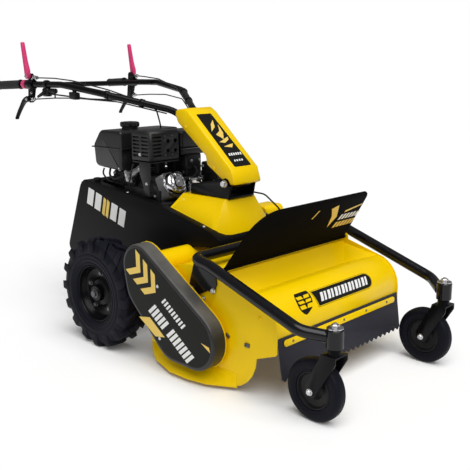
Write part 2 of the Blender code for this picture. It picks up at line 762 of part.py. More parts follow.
def skid_flare(sign):
    """The foot of a side plate, pressed outwards under the belt guard."""
    plate = DECK_HALF_WIDTH + SIDE_PLATE
    rings = []
    for back, reach in SKID_FLARE:
        y = DECK_REAR_Y - back
        ring = [(plate - 0.003, 0.060), (plate + 0.001, 0.062), (plate + 0.001 + reach, SKID_Z + 0.004)]
        ring += [(plate - 0.003 + reach, SKID_Z)]
        rings.append([(sign * x, y, z) for x, z in ring])
    return loft(rings)


def deck_sides():
    """Side plates with the rotor bearing housings and the ears that hold the deflector's pin."""
    for side, sign in SIDES.items():
        inner = sign * DECK_HALF_WIDTH
        outer = sign * (DECK_HALF_WIDTH + SIDE_PLATE)
        housing = sign * (DECK_HALF_WIDTH + SIDE_PLATE + BEARING_DEPTH)
        plate = prism(side_plate_outline(), inner, outer)
        ear = hull([(HINGE_AXIS[0], HINGE_AXIS[1], 0.013), (HINGE_AXIS[0], DECK_TOP_Z - 0.02, 0.016)])
        fuse(plate, prism(ear, inner, outer), skid_flare(sign))
        fuse(plate, rod((inner, ROTOR_Y, ROTOR_Z), (housing, ROTOR_Y, ROTOR_Z), BEARING_RADIUS, 16))
        past = sign * 0.01
        cut(plate, rod((inner - past, ROTOR_Y, ROTOR_Z), (housing + past, ROTOR_Y, ROTOR_Z),
                       ROTOR_SHAFT_RADIUS + RUNNING, 12))
        cut(plate, rod((inner - past, *HINGE_AXIS), (outer + past, *HINGE_AXIS), FLAP_PIN_RADIUS + 0.0006, 10))
        node("deck_side_" + side, plate, yellow_paint)


def lean(shape):
    """Slopes the curtain and its strip forward below the hood's lip."""
    for vert in shape.data.vertices:
        vert.co.y -= CURTAIN_LEAN * (CURTAIN_TOP_Z - vert.co.z) / (CURTAIN_TOP_Z - CURTAIN_HEM_Z)
    return shape


def rubber_curtain():
    """Rubber curtain with a toothed hem, hung on the face of the hood's lip."""
    half = DECK_HALF_WIDTH - 0.002
    pitch = 2.0 * half / CURTAIN_TEETH
    hem = []
    for k in range(CURTAIN_TEETH):
        x = -half + k * pitch
        hem += [(x, CURTAIN_HEM_Z + 0.010), (x + 0.5 * pitch, CURTAIN_HEM_Z)]
    outline = hem + [(half, CURTAIN_HEM_Z + 0.010), (half, CURTAIN_TOP_Z), (-half, CURTAIN_TOP_Z)]
    back = HOOD_FRONT_Y - GAP
    node("rubber_curtain", lean(prism(outline, back, back - CURTAIN_THICKNESS, "Y")), curtain_rubber)


def curtain_strip():
    """Steel strip that clamps the curtain to the hood."""
    low = CURTAIN_TOP_Z - 0.008 - STRIP_HEIGHT
    end = STRIP_HALF_LENGTH
    corners = [(-end, low), (end, low), (end, low + STRIP_HEIGHT), (-end, low + STRIP_HEIGHT)]
    outline = rounded([(x, z, 0.49 * STRIP_HEIGHT) for x, z in corners])
    back = HOOD_FRONT_Y - CURTAIN_THICKNESS - 2.0 * GAP
    node("curtain_strip", lean(prism(outline, back, back - SHEET, "Y")), yellow_paint)


def deflector():
    """Deflector plate on its hinge rod, one upper corner rounded far more than the other."""
    y, z = HINGE_AXIS
    foot, head = FLAP_FOOT_HALF_WIDTH, FLAP_HEAD_HALF_WIDTH
    corners = [(-foot, z, 0.0), (foot, z, 0.0), (head, z + FLAP_LENGTH, FLAP_FAR_CORNER)]
    corners += [(-head, z + FLAP_LENGTH, FLAP_NEAR_CORNER)]
    plate = prism(rounded(corners, 6), y - FLAP_THICKNESS / 2.0, y + FLAP_THICKNESS / 2.0, "Y")
    fuse(plate, rod((-foot, y, z), (foot, y, z), FLAP_HINGE_RADIUS))
    reach = DECK_HALF_WIDTH + SIDE_PLATE + 0.003
    fuse(plate, rod((-reach, y, z), (reach, y, z), FLAP_PIN_RADIUS))
    turn_about(plate, (0.0, y, z), FLAP_LEAN)
    carrier = pivot("deflector_hinge", (0.0, y, z))
    node("deflector", plate, black_paint, carrier.location, carrier)


def hammer_stations():
    """Where each hammer sits: its x and the angle of its pin round the rotor."""
    span = DECK_HALF_WIDTH - ROTOR_END_CLEARANCE - 0.048
    for k in range(HAMMERS):
        yield k, -span + 2.0 * span * k / (HAMMERS - 1), math.radians(45.0 + 90.0 * (k % 4))


def pin_spot(x, angle):
    """The middle of a hammer pin."""
    return Vector((x, ROTOR_Y + HAMMER_PIN_REACH * math.cos(angle), ROTOR_Z + HAMMER_PIN_REACH * math.sin(angle)))


def rotor():
    """Rotor tube with its end shafts, and the pair of ears and the pin that carry each hammer."""
    end = DECK_HALF_WIDTH - ROTOR_END_CLEARANCE
    far = DECK_HALF_WIDTH + SIDE_PLATE + BEARING_DEPTH - 0.002
    near = PULLEY_X + BELT_WIDTH
    profile = [(-near, 0.0), (-near, ROTOR_SHAFT_RADIUS), (-end, ROTOR_SHAFT_RADIUS)]
    profile += [(-end, ROTOR_TUBE_RADIUS), (end, ROTOR_TUBE_RADIUS), (end, ROTOR_SHAFT_RADIUS)]
    profile += [(far, ROTOR_SHAFT_RADIUS), (far, 0.0)]
    centre = (0.0, ROTOR_Y, ROTOR_Z)
    tube = turned(profile, centre, 14)
    inner = HAMMER_WIDTH / 2.0 + RUNNING
    outer = inner + EAR_THICKNESS
    for _, x, angle in hammer_stations():
        heart = pin_spot(x, angle)
        root = pin_spot(x, angle).lerp(Vector((x, ROTOR_Y, ROTOR_Z)), 0.72)
        ear = hull([(heart.y, heart.z, 0.010), (root.y, root.z, 0.015)], 8)
        fuse(tube, prism(ear, x - outer, x - inner), prism(ear, x + inner, x + outer))
        fuse(tube, rod(heart - Vector((outer, 0, 0)), heart + Vector((outer, 0, 0)), HAMMER_PIN_RADIUS, 6))
    fuse(tube, pulley(ROTOR_Y, ROTOR_Z, ROTOR_PULLEY_RADIUS))
    carrier = pivot("rotor_axis", centre)
    node("rotor", tube, plain_steel, centre, carrier)


def hammers():
    """Forged hammer knives that hang on the rotor's pins: an eye, a neck and a wide cutting foot."""
    bore = HAMMER_PIN_RADIUS + 0.0008
    for k, x, angle in hammer_stations():
        heart = pin_spot(x, angle)
        half = HAMMER_WIDTH / 2.0
        neck = 0.36 * half
        foot = heart.z - HAMMER_LENGTH
        face = [(x - neck, heart.z), (x - neck, foot + 0.026), (x - half, foot + 0.012), (x - half, foot)]
        face += [(x + half, foot), (x + half, foot + 0.012), (x + neck, foot + 0.026), (x + neck, heart.z)]
        thick = HAMMER_THICKNESS / 2.0
        body = prism(face, heart.y - thick, heart.y + thick, "Y")
        eye = rod(heart - Vector((half, 0, 0)), heart + Vector((half, 0, 0)), HAMMER_EYE_RADIUS)
        fuse(body, eye)
        cut(body, rod(heart - Vector((0.03, 0, 0)), heart + Vector((0.03, 0, 0)), bore, 8))
        carrier = pivot("hammer_pin_%d" % (k + 1), heart)
        node("hammer_%d" % (k + 1), body, plain_steel, heart, carrier)


def guard_outline(inset=0.0):
    """The belt guard's outline: round the drive pulley, the rotor pulley, the knee and the heel."""
    circles = [(SHAFT_Y, SHAFT_Z, GUARD_TOP_RADIUS), (ROTOR_Y, ROTOR_Z, GUARD_FOOT_RADIUS), GUARD_KNEE, GUARD_HEEL]
    return hull([(y, z, radius - inset) for y, z, radius in circles], 18)


def belt_guard():
    """Moulded belt guard, open to its backplate, and the backplate on the rotor's bearing housing."""
    shell = prism(guard_outline(), -GUARD_INNER_X, -GUARD_OUTER_X)
    soften_face(shell, -GUARD_OUTER_X, 0.004)
    cavity = prism(guard_outline(GUARD_WALL), -GUARD_INNER_X + 0.01, -GUARD_OUTER_X + GUARD_WALL)
    node("belt_guard", cut(shell, cavity), black_plastic)
    plate = prism(guard_outline(-BACKPLATE_MARGIN), -BACKPLATE_X, -BACKPLATE_X - BACKPLATE_THICKNESS)
    for y, z, radius in ((ROTOR_Y, ROTOR_Z, ROTOR_SHAFT_RADIUS), (SHAFT_Y, SHAFT_Z, SIDE_SHAFT_RADIUS)):
        cut(plate, rod((-BACKPLATE_X + 0.01, y, z), (-BACKPLATE_X - 0.01, y, z), radius + 0.003, 12))
    node("belt_backplate", plate, yellow_paint)


def soften_face(shape, x, width):
    """Bevels the rim of the face that lies in the plane x."""
    bm = bmesh.new()
    bm.from_mesh(shape.data)
    rim = [edge for edge in bm.edges if all(abs(vert.co.x - x) < 1e-6 for vert in edge.verts)]
    bmesh.ops.bevel(bm, geom=rim, offset=width, segments=1, affect="EDGES", profile=0.5)
    bmesh.ops.recalc_face_normals(bm, faces=bm.faces)
    bm.to_mesh(shape.data)
    bm.free()


def pulley(y, z, radius):
    """V-belt pulley on its shaft: two flanges and the groove between them."""
    half = BELT_WIDTH / 2.0 + 0.003
    floor = radius - BELT_THICKNESS
    profile = [(-half, 0.0), (-half, radius), (-half + 0.002, radius), (-0.003, floor), (0.003, floor)]
    profile += [(half - 0.002, radius), (half, radius), (half, 0.0)]
    return turned(profile, (-PULLEY_X, y, z))


def belt_drive():
    """Cross shaft with its pulley, and the belt that ties it to the rotor's pulley."""
    centre = (-PULLEY_X, SHAFT_Y, SHAFT_Z)
    ends = ((-PULLEY_X - BELT_WIDTH, SHAFT_Y, SHAFT_Z), (-BEVEL_HALF_WIDTH - RUNNING, SHAFT_Y, SHAFT_Z))
    shaft = fuse(rod(*ends, SIDE_SHAFT_RADIUS), pulley(SHAFT_Y, SHAFT_Z, DRIVE_PULLEY_RADIUS))
    node("cross_shaft", shaft, plain_steel, centre, pivot("cross_shaft_axis", centre))
    ends = [(SHAFT_Y, SHAFT_Z, DRIVE_PULLEY_RADIUS), (ROTOR_Y, ROTOR_Z, ROTOR_PULLEY_RADIUS)]
    outer = hull([(y, z, radius + 0.003) for y, z, radius in ends], 24)
    inner = hull([(y, z, radius - BELT_THICKNESS + 0.003) for y, z, radius in ends], 24)
    half = 0.0028
    belt = prism(outer, -PULLEY_X - half, -PULLEY_X + half)
    node("drive_belt", cut(belt, prism(inner, -PULLEY_X - 0.02, -PULLEY_X + 0.02)), tyre_rubber)


def shaft_tube():
    """Yellow tube that carries the cross shaft from the bevel gear to the belt drive."""
    profile = [(-BACKPLATE_X + GAP, SIDE_SHAFT_RADIUS + RUNNING), (-BACKPLATE_X + GAP, SHAFT_TUBE_RADIUS)]
    profile += [(-BEVEL_HALF_WIDTH - GAP, SHAFT_TUBE_RADIUS), (-BEVEL_HALF_WIDTH - GAP, SIDE_SHAFT_RADIUS + RUNNING)]
    node("cross_shaft_tube", turned(profile, (0.0, SHAFT_Y, SHAFT_Z)), yellow_paint)


def transmission():
    """Gearbox between the drive wheels with its axle tubes, and the bevel gear in front of it."""
    half = CASE_HALF_LENGTH
    top = RAIL_BOTTOM_Z - GAP
    corners = [(-half, CASE_BOTTOM_Z, 0.030), (-half, top, 0.015), (half, top, 0.015), (half, CASE_BOTTOM_Z, 0.030)]
    case = prism(rounded(corners), -CASE_HALF_WIDTH, CASE_HALF_WIDTH)
    hub_end = DRIVE_OUTER_X - DRIVE_WIDTH / 2.0 - WHEEL_HUB_LENGTH - RUNNING
    fuse(case, rod((-hub_end, 0.0, DRIVE_RADIUS), (hub_end, 0.0, DRIVE_RADIUS), AXLE_TUBE_RADIUS, 16))
    fuse(case, rod((0.0, 0.0, DRIVE_RADIUS), (0.0, -half - 0.012, DRIVE_RADIUS), 0.060, 16))
    snout = SHAFT_Z - 0.017
    fuse(case, rod((0.0, -half + 0.02, snout), (0.0, SHAFT_Y + 0.01, snout), 0.030, 12))
    slope = Vector(deck_line()[2]) - Vector(deck_line()[1])
    along = slope.normalized()
    out = Vector((along.y, -along.x)) * -1.0
    if out.x < 0.0:
        out = -out
    foot = [Vector(deck_line()[1]) + along * share * slope.length + out * (SHEET + GAP) for share in (0.30, 0.86)]
    rear, front = SHAFT_Y + BEVEL_HALF_LENGTH, SHAFT_Y - BEVEL_HALF_LENGTH
    top = RAIL_BOTTOM_Z + RAIL_HEIGHT - GAP
    outline = [(rear, top), (front, top), (front, foot[1].y + 0.012), tuple(foot[1]), tuple(foot[0])]
    outline += [(rear, foot[0].y + 0.020)]
    fuse(case, prism(outline, -BEVEL_HALF_WIDTH, BEVEL_HALF_WIDTH))
    node("transmission_case", case, cast_metal)


def chassis():
    """Two box rails on the gearbox, tied by the bed plate that the engine and the post stand on."""
    top = RAIL_BOTTOM_Z + RAIL_HEIGHT
    half = RAIL_WIDTH / 2.0
    frame = block((-TUB_HALF_WIDTH + TUB_WALL + GAP, RAIL_FRONT_Y + 0.004, top - 0.0001),
                  (TUB_HALF_WIDTH - TUB_WALL - GAP, RAIL_REAR_Y, top + BED_THICKNESS))
    for sign in SIDES.values():
        x = sign * RAIL_X
        fuse(frame, block((x - half, RAIL_FRONT_Y, RAIL_BOTTOM_Z), (x + half, RAIL_REAR_Y, top + 0.001)))
    cut(frame, rod((-TUB_HALF_WIDTH, SHAFT_Y, SHAFT_Z), (TUB_HALF_WIDTH, SHAFT_Y, SHAFT_Z),
                   SHAFT_TUBE_RADIUS + RUNNING, 20))
    node("chassis_frame", frame, black_paint)


def tub_outline():
    """The tub's side outline: a long fall to the front, a raked tail and a notched belly."""
    tail, nose = TUB_TAIL_Y, TUB_NOSE_Y
    top = [(nose, TUB_NOSE_Z, 0.025), (-0.370, 0.446, 0.0), (-0.316, 0.4595, 0.0), (-0.215, 0.4815, 0.0)]
    top += [(-0.120, 0.5035, 0.0), (0.030, 0.5240, 0.0), (tail - 0.121, 0.5600, 0.050)]
    rear = [(tail, 0.262, 0.030), (tail - 0.022, 0.234, 0.0)]
    belly = [(0.000, 0.298, 0.0), (-0.120, 0.326, 0.0), (-0.303, 0.383, 0.0), (nose, 0.398, 0.0)]
    return rounded(top + rear + belly)


def tub():
    """Moulded body tub with an inward flange round its open top, open below."""
    outline = tub_outline()
    shell = prism(outline, -TUB_HALF_WIDTH, TUB_HALF_WIDTH)
    inner = TUB_HALF_WIDTH - TUB_WALL
    hollow = prism(offset_line(outline, -TUB_WALL, True), -inner, inner)
    below = prism([(y, z - 0.020) for y, z in offset_line(outline, -TUB_WALL, True)], -inner, inner)
    front, rear = TUB_NOSE_Y + 0.012, TUB_TAIL_Y - 0.190
    x = TUB_HALF_WIDTH - TUB_FLANGE
    corners = [(-x, front), (x, front), (x, rear), (-x, rear)]
    corners = [(x, y, TUB_MOUTH_RADIUS) for x, y in corners]
    mouth = prism(rounded(corners), TUB_NOSE_Z - 0.014, TUB_NOSE_Z + 0.276, "Z")
    cut(shell, hollow, below, mouth)
    reach = TUB_HALF_WIDTH + 0.01
    for sign in SIDES.values():
        inside = sign * (inner - TUB_FLANGE)
        cut(shell, rod((inside, SHAFT_Y, SHAFT_Z), (sign * reach, SHAFT_Y, SHAFT_Z), SHAFT_TUBE_RADIUS + 0.002, 16))
    node("tub_cover", shell, black_plastic)


def cowl():
    """Folded yellow cowl over the foot of the handlebar post, with a hole for the post."""
    def rings(inset, drop):
        y_rear, y_front = COWL_REAR_Y - inset, COWL_FRONT_Y + inset
        foot = TUB_HALF_WIDTH - TUB_FLANGE - RUNNING - inset
        head = COWL_TOP_HALF_WIDTH - inset
        nose_y = TUB_NOSE_Y + 0.0145 + inset
        edge = [(foot, y_rear), (foot, COWL_KNEE_Y + inset), (head - 0.009, nose_y)]
        rim = [(x, y, z) for (x, y), z in zip(edge, COWL_RIM_HEIGHTS)]
        low = [(x, y, z - COWL_SKIRT - drop) for x, y, z in rim]
        top = [(head, y_rear, COWL_TOP_Z - inset), (head, y_front, COWL_TOP_Z - inset),
               (head - 0.002, y_front - 0.001, COWL_TOP_Z - inset)]
        return [ring + [(-x, y, z) for x, y, z in ring[::-1]] for ring in (low, rim, top)]
    shell = loft(rings(0.0, 0.0))
    cut(shell, loft(rings(COWL_WALL, 0.030)))
    slack = 0.002
    x = POST_HALF_WIDTH + slack
    cut(shell, block((-x, POST_FRONT_Y - slack, 0.50), (x, POST_REAR_Y + slack, 0.60)))
    node("front_cowl", shell, yellow_paint)


def post():
    """Steel post from the chassis bed up through the cowl, with the cheeks and bolt of the hinge."""
    bed = RAIL_BOTTOM_Z + RAIL_HEIGHT + BED_THICKNESS + GAP
    base = COWL_TOP_Z + GAP
    body = block((-POST_HALF_WIDTH, POST_FRONT_Y, bed), (POST_HALF_WIDTH, POST_REAR_Y, base + 0.003))
    outer = CHEEK_X + CHEEK_THICKNESS
    fuse(body, block((-outer, PIVOT_Y - 0.008, base), (outer, POST_REAR_Y + 0.022, base + 0.006)))
    cheek = [(PIVOT_Y - 0.008, base + 0.002, 0.0), (PIVOT_Y - 0.019, PIVOT_Z, 0.006)]
    cheek += [(PIVOT_Y - 0.012, PIVOT_Z + 0.016, 0.008), (PIVOT_Y + 0.020, PIVOT_Z + 0.014, 0.010)]
    cheek += [(POST_REAR_Y + 0.020, PIVOT_Z - 0.018, 0.010), (POST_REAR_Y + 0.022, base + 0.002, 0.0)]
    outline = rounded(cheek)
    for sign in SIDES.values():
        fuse(body, prism(outline, sign * CHEEK_X, sign * outer))
    reach = COVER_HALF_WIDTH + 0.004
    shank = PIVOT_BOLT_RADIUS
    bolt = [(-reach - 0.006, 0.0), (-reach - 0.006, 0.013), (-reach, 0.013), (-reach, shank)]
    bolt += [(reach, shank), (reach, 0.013), (reach + 0.006, 0.013), (reach + 0.006, 0.0)]
    fuse(body, turned(bolt, (0.0, PIVOT_Y, PIVOT_Z), 10))
    node("column_post", body, black_paint)


def column_cover(carrier):
    """Moulded yellow cover of the steering column: a raked face, a crown and a notch for the bolt."""
    wall = COVER_WALL
    face = [(PIVOT_Y + back, PIVOT_Z + rise) for back, rise in COVER_FACE]
    back = [(PIVOT_Y + back, PIVOT_Z + rise) for back, rise in COVER_BACK]
    shell = soften(prism(face + back, -COVER_HALF_WIDTH, COVER_HALF_WIDTH), 0.010, 2)
    inside = offset_line(face, -wall, False)
    behind, below = PIVOT_Y + 0.353, PIVOT_Z - 0.038
    cavity = [(face[0][0] + 0.005, below)] + inside[1:4] + [(behind, inside[3][1] - 0.021), (behind, below)]
    half = COVER_HALF_WIDTH - wall
    cut(shell, soften(prism(cavity, -half, half), 0.008))
    past = COVER_HALF_WIDTH + 0.01
    cut(shell, rod((-past, PIVOT_Y, PIVOT_Z), (past, PIVOT_Y, PIVOT_Z), COVER_NOTCH_RADIUS, 16))
    node("column_cover", shell, yellow_paint, carrier.location, carrier)


def bar_path(sign):
    """One side of the handlebar from inside the column to the end of its grip."""
    spots = [BAR_ROOT, BAR_MOUTH, BAR_ELBOW, BAR_SHOULDER, BAR_GRIP_START, BAR_END]
    return [(sign * x, y, z) for x, y, z in spots]


def bar_spot(sign, y):
    """The point of the bar's middle line at a distance y, on its two rearmost runs."""
    start = Vector(BAR_SHOULDER)
    end = Vector(BAR_GRIP_START)
    if y > BAR_GRIP_START[1]:
        start, end = end, Vector(BAR_END)
    spot = start.lerp(end, (y - start.y) / (end.y - start.y))
    return Vector((sign * spot.x, spot.y, spot.z))


def handlebar(carrier):
    """Steering column on its hinge boss, with both bars and the cross bar welded in."""
    root = (PIVOT_Y, PIVOT_Z)
    head = (BAR_ROOT[1] + 0.010, BAR_ROOT[2] - 0.004)
    column = prism(hull([(*root, 0.020), (*head, 0.019)]), -COLUMN_HALF_WIDTH, COLUMN_HALF_WIDTH)
    boss = CHEEK_X - RUNNING
    fuse(column, rod((-boss, *root), (boss, *root), 0.018, 14))
    for sign in SIDES.values():
        fuse(column, pipe(bent(bar_path(sign), BAR_BEND_RADIUS), BAR_RADIUS))
    left, right = bar_spot(-1.0, BAR_SHOULDER[1] + 0.03), bar_spot(1.0, BAR_SHOULDER[1] + 0.03)
    fuse(column, rod(left, right, 0.010))
    cut(column, rod((-0.1, *root), (0.1, *root), PIVOT_BOLT_RADIUS + 0.0006, 12))
    node("handlebar_frame", column, black_paint, carrier.location, carrier)


def grips(carrier):
    """Rubber grips pushed over the ends of the bars."""
    for side, sign in SIDES.items():
        start, end = bar_spot(sign, BAR_GRIP_START[1] + 0.006), Vector(bar_path(sign)[-1])
        ahead = (end - start).normalized()
        sleeve = rod(start, end + ahead * 0.006, GRIP_RADIUS, 12)
        cut(sleeve, rod(start - ahead * 0.01, end + ahead * 0.001, BAR_RADIUS + BAR_SLACK, 12))
        node("grip_" + side, sleeve, grip_rubber, carrier.location, carrier)


def levers(carrier):
    """Clamp on each bar with the brake lever above it and the clutch lever below it."""
    for side, sign in SIDES.items():
        spot = bar_spot(sign, PERCH_Y)
        ahead = (bar_spot(sign, PERCH_Y + 0.01) - spot).normalized()
        perch = rod(spot - ahead * 0.020, spot + ahead * 0.020, BAR_RADIUS + 0.007, 12)
        high = spot + Vector((0.0, 0.006, BRAKE_PIVOT_RISE))
        low = spot + Vector((0.0, 0.014, -CLUTCH_PIVOT_DROP))
        stalk = hull([(high.y, high.z, 0.009), (low.y, low.z, 0.011), (spot.y, spot.z, 0.016)])
        fuse(perch, prism(stalk, spot.x - 0.004, spot.x + 0.004))
        side_x = sign * 0.016
        for pin in (high, low):
            fuse(perch, rod((spot.x, pin.y, pin.z), (spot.x + side_x, pin.y, pin.z), LEVER_PIVOT_RADIUS, 8))
        cut(perch, rod(spot - ahead * 0.05, spot + ahead * 0.05, BAR_RADIUS + BAR_SLACK, 12))
        node("lever_perch_" + side, perch, black_paint, carrier.location, carrier)
        near, far = sorted((spot.x + sign * 0.005, spot.x + sign * 0.013))
        brake_axis = pivot("brake_lever_axis_" + side, high)
        brake = lever_blade(high, BRAKE_LEVER_LENGTH, 80.0, 0.010, 0.006, near, far)
        node("brake_lever_" + side, brake, pink_plastic, high, brake_axis)
        clutch_axis = pivot("clutch_lever_axis_" + side, low)
        clutch = lever_blade(low, CLUTCH_LEVER_LENGTH, -40.0, 0.010, 0.007, near, far)
        node("clutch_lever_" + side, clutch, black_plastic, low, clutch_axis)


def lever_blade(spot, length, angle, root, tip, near, far):
    """A flat tapering lever with an eye at its pivot; the angle is above the way to the rear."""
    turn = math.radians(angle)
    end = (spot.y + length * math.cos(turn), spot.z + length * math.sin(turn))
    blade = prism(hull([(spot.y, spot.z, root), (*end, tip)]), near, far)
    return cut(blade, rod((near - 0.01, spot.y, spot.z), (far + 0.01, spot.y, spot.z),
                          LEVER_PIVOT_RADIUS + 0.0005, 8))


def throttle(carrier):
    """Throttle box clamped under the left bar, and its thumb lever on the outer face."""
    sign = SIDES["left"]
    spot = bar_spot(sign, THROTTLE_Y)
    ahead = (bar_spot(sign, THROTTLE_Y + 0.01) - spot).normalized()
    low = (spot.x - 0.013, spot.y - 0.020, spot.z - 0.046)
    high = (spot.x + 0.013, spot.y + 0.020, spot.z - BAR_RADIUS - 0.001)
    box = soften(block(low, high), 0.005)
    fuse(box, rod(spot - ahead * 0.008, spot + ahead * 0.008, BAR_RADIUS + 0.005, 12))
    cut(box, rod(spot - ahead * 0.05, spot + ahead * 0.05, BAR_RADIUS + BAR_SLACK, 12))
    axis = Vector((low[0], spot.y, spot.z - 0.032))
    fuse(box, rod((axis.x + 0.004, axis.y, axis.z), (axis.x - 0.008, axis.y, axis.z), LEVER_PIVOT_RADIUS, 8))
    node("throttle_box", box, black_plastic, carrier.location, carrier)
    thumb = pivot("throttle_lever_axis", axis)
    blade = lever_blade(axis, THROTTLE_LEVER_LENGTH, -20.0, 0.008, 0.005, axis.x - 0.0055, axis.x - 0.0015)
    node("throttle_lever", blade, black_plastic, axis, thumb)


def cylinder_spot(along, across=0.0):
    """A point of the cylinder's side view, measured along its leaning axis from the crankshaft."""
    run, rise = math.cos(math.radians(CYLINDER_LEAN)), math.sin(math.radians(CYLINDER_LEAN))
    return (CRANK_Y - run * along + rise * across, CRANK_Z + rise * along + run * across)


def cylinder_slice(first, last, half):
    """A slab of the cylinder between two distances along its axis."""
    outline = [cylinder_spot(first, -half), cylinder_spot(first, half)]
    outline += [cylinder_spot(last, half), cylinder_spot(last, -half)]
    return prism(outline, CYLINDER_X - half, CYLINDER_X + half)


def crankcase():
    """Cast crankcase with its side disc, the two posts that carry the tank, and the carburettor."""
    bed = RAIL_BOTTOM_Z + RAIL_HEIGHT + BED_THICKNESS + GAP
    face = [cylinder_spot(CYLINDER_FOOT - GAP, 0.055), cylinder_spot(CYLINDER_FOOT - GAP, -0.055)]
    outline = [(-0.045, bed), (0.150, bed), (0.150, CASE_TOP_Z)] + face
    case = prism(outline, -BLOCK_HALF_WIDTH, FAN_X - GAP)
    disc = [(-BLOCK_HALF_WIDTH + 0.002, 0.0), (-BLOCK_HALF_WIDTH + 0.002, 0.060), (-BLOCK_HALF_WIDTH - 0.012, 0.060)]
    disc += [(-BLOCK_HALF_WIDTH - 0.018, 0.052), (-BLOCK_HALF_WIDTH - 0.018, 0.0)]
    fuse(case, turned(disc, (0.0, CRANK_Y, CRANK_Z), 20))
    for x in (-0.060, 0.060):
        fuse(case, block((x - 0.012, 0.134, CASE_TOP_Z - 0.002), (x + 0.012, 0.149, TANK_BOTTOM_Z - GAP)))
    fuse(case, block((0.012, 0.012, CASE_TOP_Z - 0.002), (0.058, 0.052, FILTER_BOTTOM_Z - GAP)))
    fuse(case, rod((0.035, 0.032, 0.612), (0.078, 0.032, 0.612), 0.013, 12))
    node("crankcase", case, cast_metal)


def cylinder():
    """Finned cylinder and head, leaning to the front, with the smooth rocker cover on its end."""
    block_end = CYLINDER_FOOT + CYLINDER_FINS * CYLINDER_PITCH
    barrel = cylinder_slice(CYLINDER_FOOT, block_end, 0.038)
    for k in range(CYLINDER_FINS):
        start = CYLINDER_FOOT + (k + 0.4) * CYLINDER_PITCH
        fuse(barrel, cylinder_slice(start, start + 0.35 * CYLINDER_PITCH, 0.049))
    node("cylinder", barrel, cast_metal)
    cover = soften(cylinder_slice(block_end + GAP, block_end + 0.040, 0.034), 0.010, 2)
    node("rocker_cover", cover, bright_metal)


def fan_cover():
    """Round fan cover with the recoil starter, and the starter handle on its face."""
    inner, outer = FAN_X, FAN_OUTER_X
    drum = [(inner, 0.0), (inner, FAN_RADIUS), (outer - 0.020, FAN_RADIUS), (outer - 0.012, FAN_RADIUS - 0.008)]
    drum += [(outer - 0.012, 0.062), (outer, 0.056), (outer, 0.0)]
    node("fan_cover", turned(drum, (0.0, CRANK_Y, CRANK_Z), 20), black_paint)
    y, z = CRANK_Y - 0.030, CRANK_Z + 0.064
    face = outer - 0.012
    stem = rod((face + GAP, y, z), (face + 0.024, y, z), 0.005, 10)
    fuse(stem, soften(block((face + 0.016, y - 0.026, z - 0.008), (face + 0.030, y + 0.026, z + 0.008)), 0.005))
    node("starter_handle", stem, black_plastic)


def muffler():
    """Muffler on its exhaust leg, and the pierced guard that wraps it."""
    low = (MUFFLER_LEFT_X + 0.006, MUFFLER_FRONT_Y + 0.008, MUFFLER_BOTTOM_Z + 0.004)
    high = (MUFFLER_RIGHT_X - 0.006, MUFFLER_REAR_Y - 0.006, MUFFLER_TOP_Z - 0.008)
    drum = soften(block(low, high), 0.012)
    leg = (CYLINDER_X - 0.016, 0.020, cylinder_spot(CYLINDER_FOOT, 0.055)[1] + GAP)
    fuse(drum, block(leg, (leg[0] + 0.032, leg[1] + 0.030, MUFFLER_BOTTOM_Z + 0.020)))
    node("muffler", drum, black_paint)
    outside = block((MUFFLER_LEFT_X, MUFFLER_FRONT_Y, MUFFLER_BOTTOM_Z),
                    (MUFFLER_RIGHT_X, MUFFLER_REAR_Y, MUFFLER_TOP_Z))
    guard = soften(outside, 0.008)
    wall = GUARD_SHEET
    cut(guard, soften(block((MUFFLER_LEFT_X + wall, MUFFLER_FRONT_Y + wall, MUFFLER_BOTTOM_Z - 0.05),
                            (MUFFLER_RIGHT_X - wall, MUFFLER_REAR_Y - wall, MUFFLER_TOP_Z - wall)), 0.006))
    cut(guard, *guard_slots())
    node("muffler_guard", guard, black_paint)


def guard_slots():
    """Cutters for the guard's slots: two columns on the side, one column and four holes in front."""
    slots = []
    height = 0.006
    for row in range(SLOT_ROWS):
        z = MUFFLER_BOTTOM_Z + 0.022 + row * SLOT_PITCH
        for y in (MUFFLER_FRONT_Y + 0.014, MUFFLER_FRONT_Y + 0.064):
            slots.append(block((MUFFLER_LEFT_X - 0.01, y, z), (MUFFLER_LEFT_X + 0.004, y + 0.037, z + height)))
        slots.append(block((MUFFLER_LEFT_X + 0.014, MUFFLER_FRONT_Y - 0.01, z),
                           (MUFFLER_LEFT_X + 0.052, MUFFLER_FRONT_Y + 0.004, z + height)))
    for row in range(2):
        for x in (MUFFLER_RIGHT_X - 0.060, MUFFLER_RIGHT_X - 0.024):
            z = MUFFLER_BOTTOM_Z + 0.040 + row * 0.036
            slots.append(rod((x, MUFFLER_FRONT_Y - 0.01, z), (x, MUFFLER_FRONT_Y + 0.004, z), 0.008, 8))
    return slots


def air_filter():
    """Air filter box above the carburettor."""
    box = block((FILTER_LEFT_X, -0.045, FILTER_BOTTOM_Z), (0.140, 0.090, TANK_TOP_Z))
    node("air_filter_box", soften(box, 0.010), black_plastic)


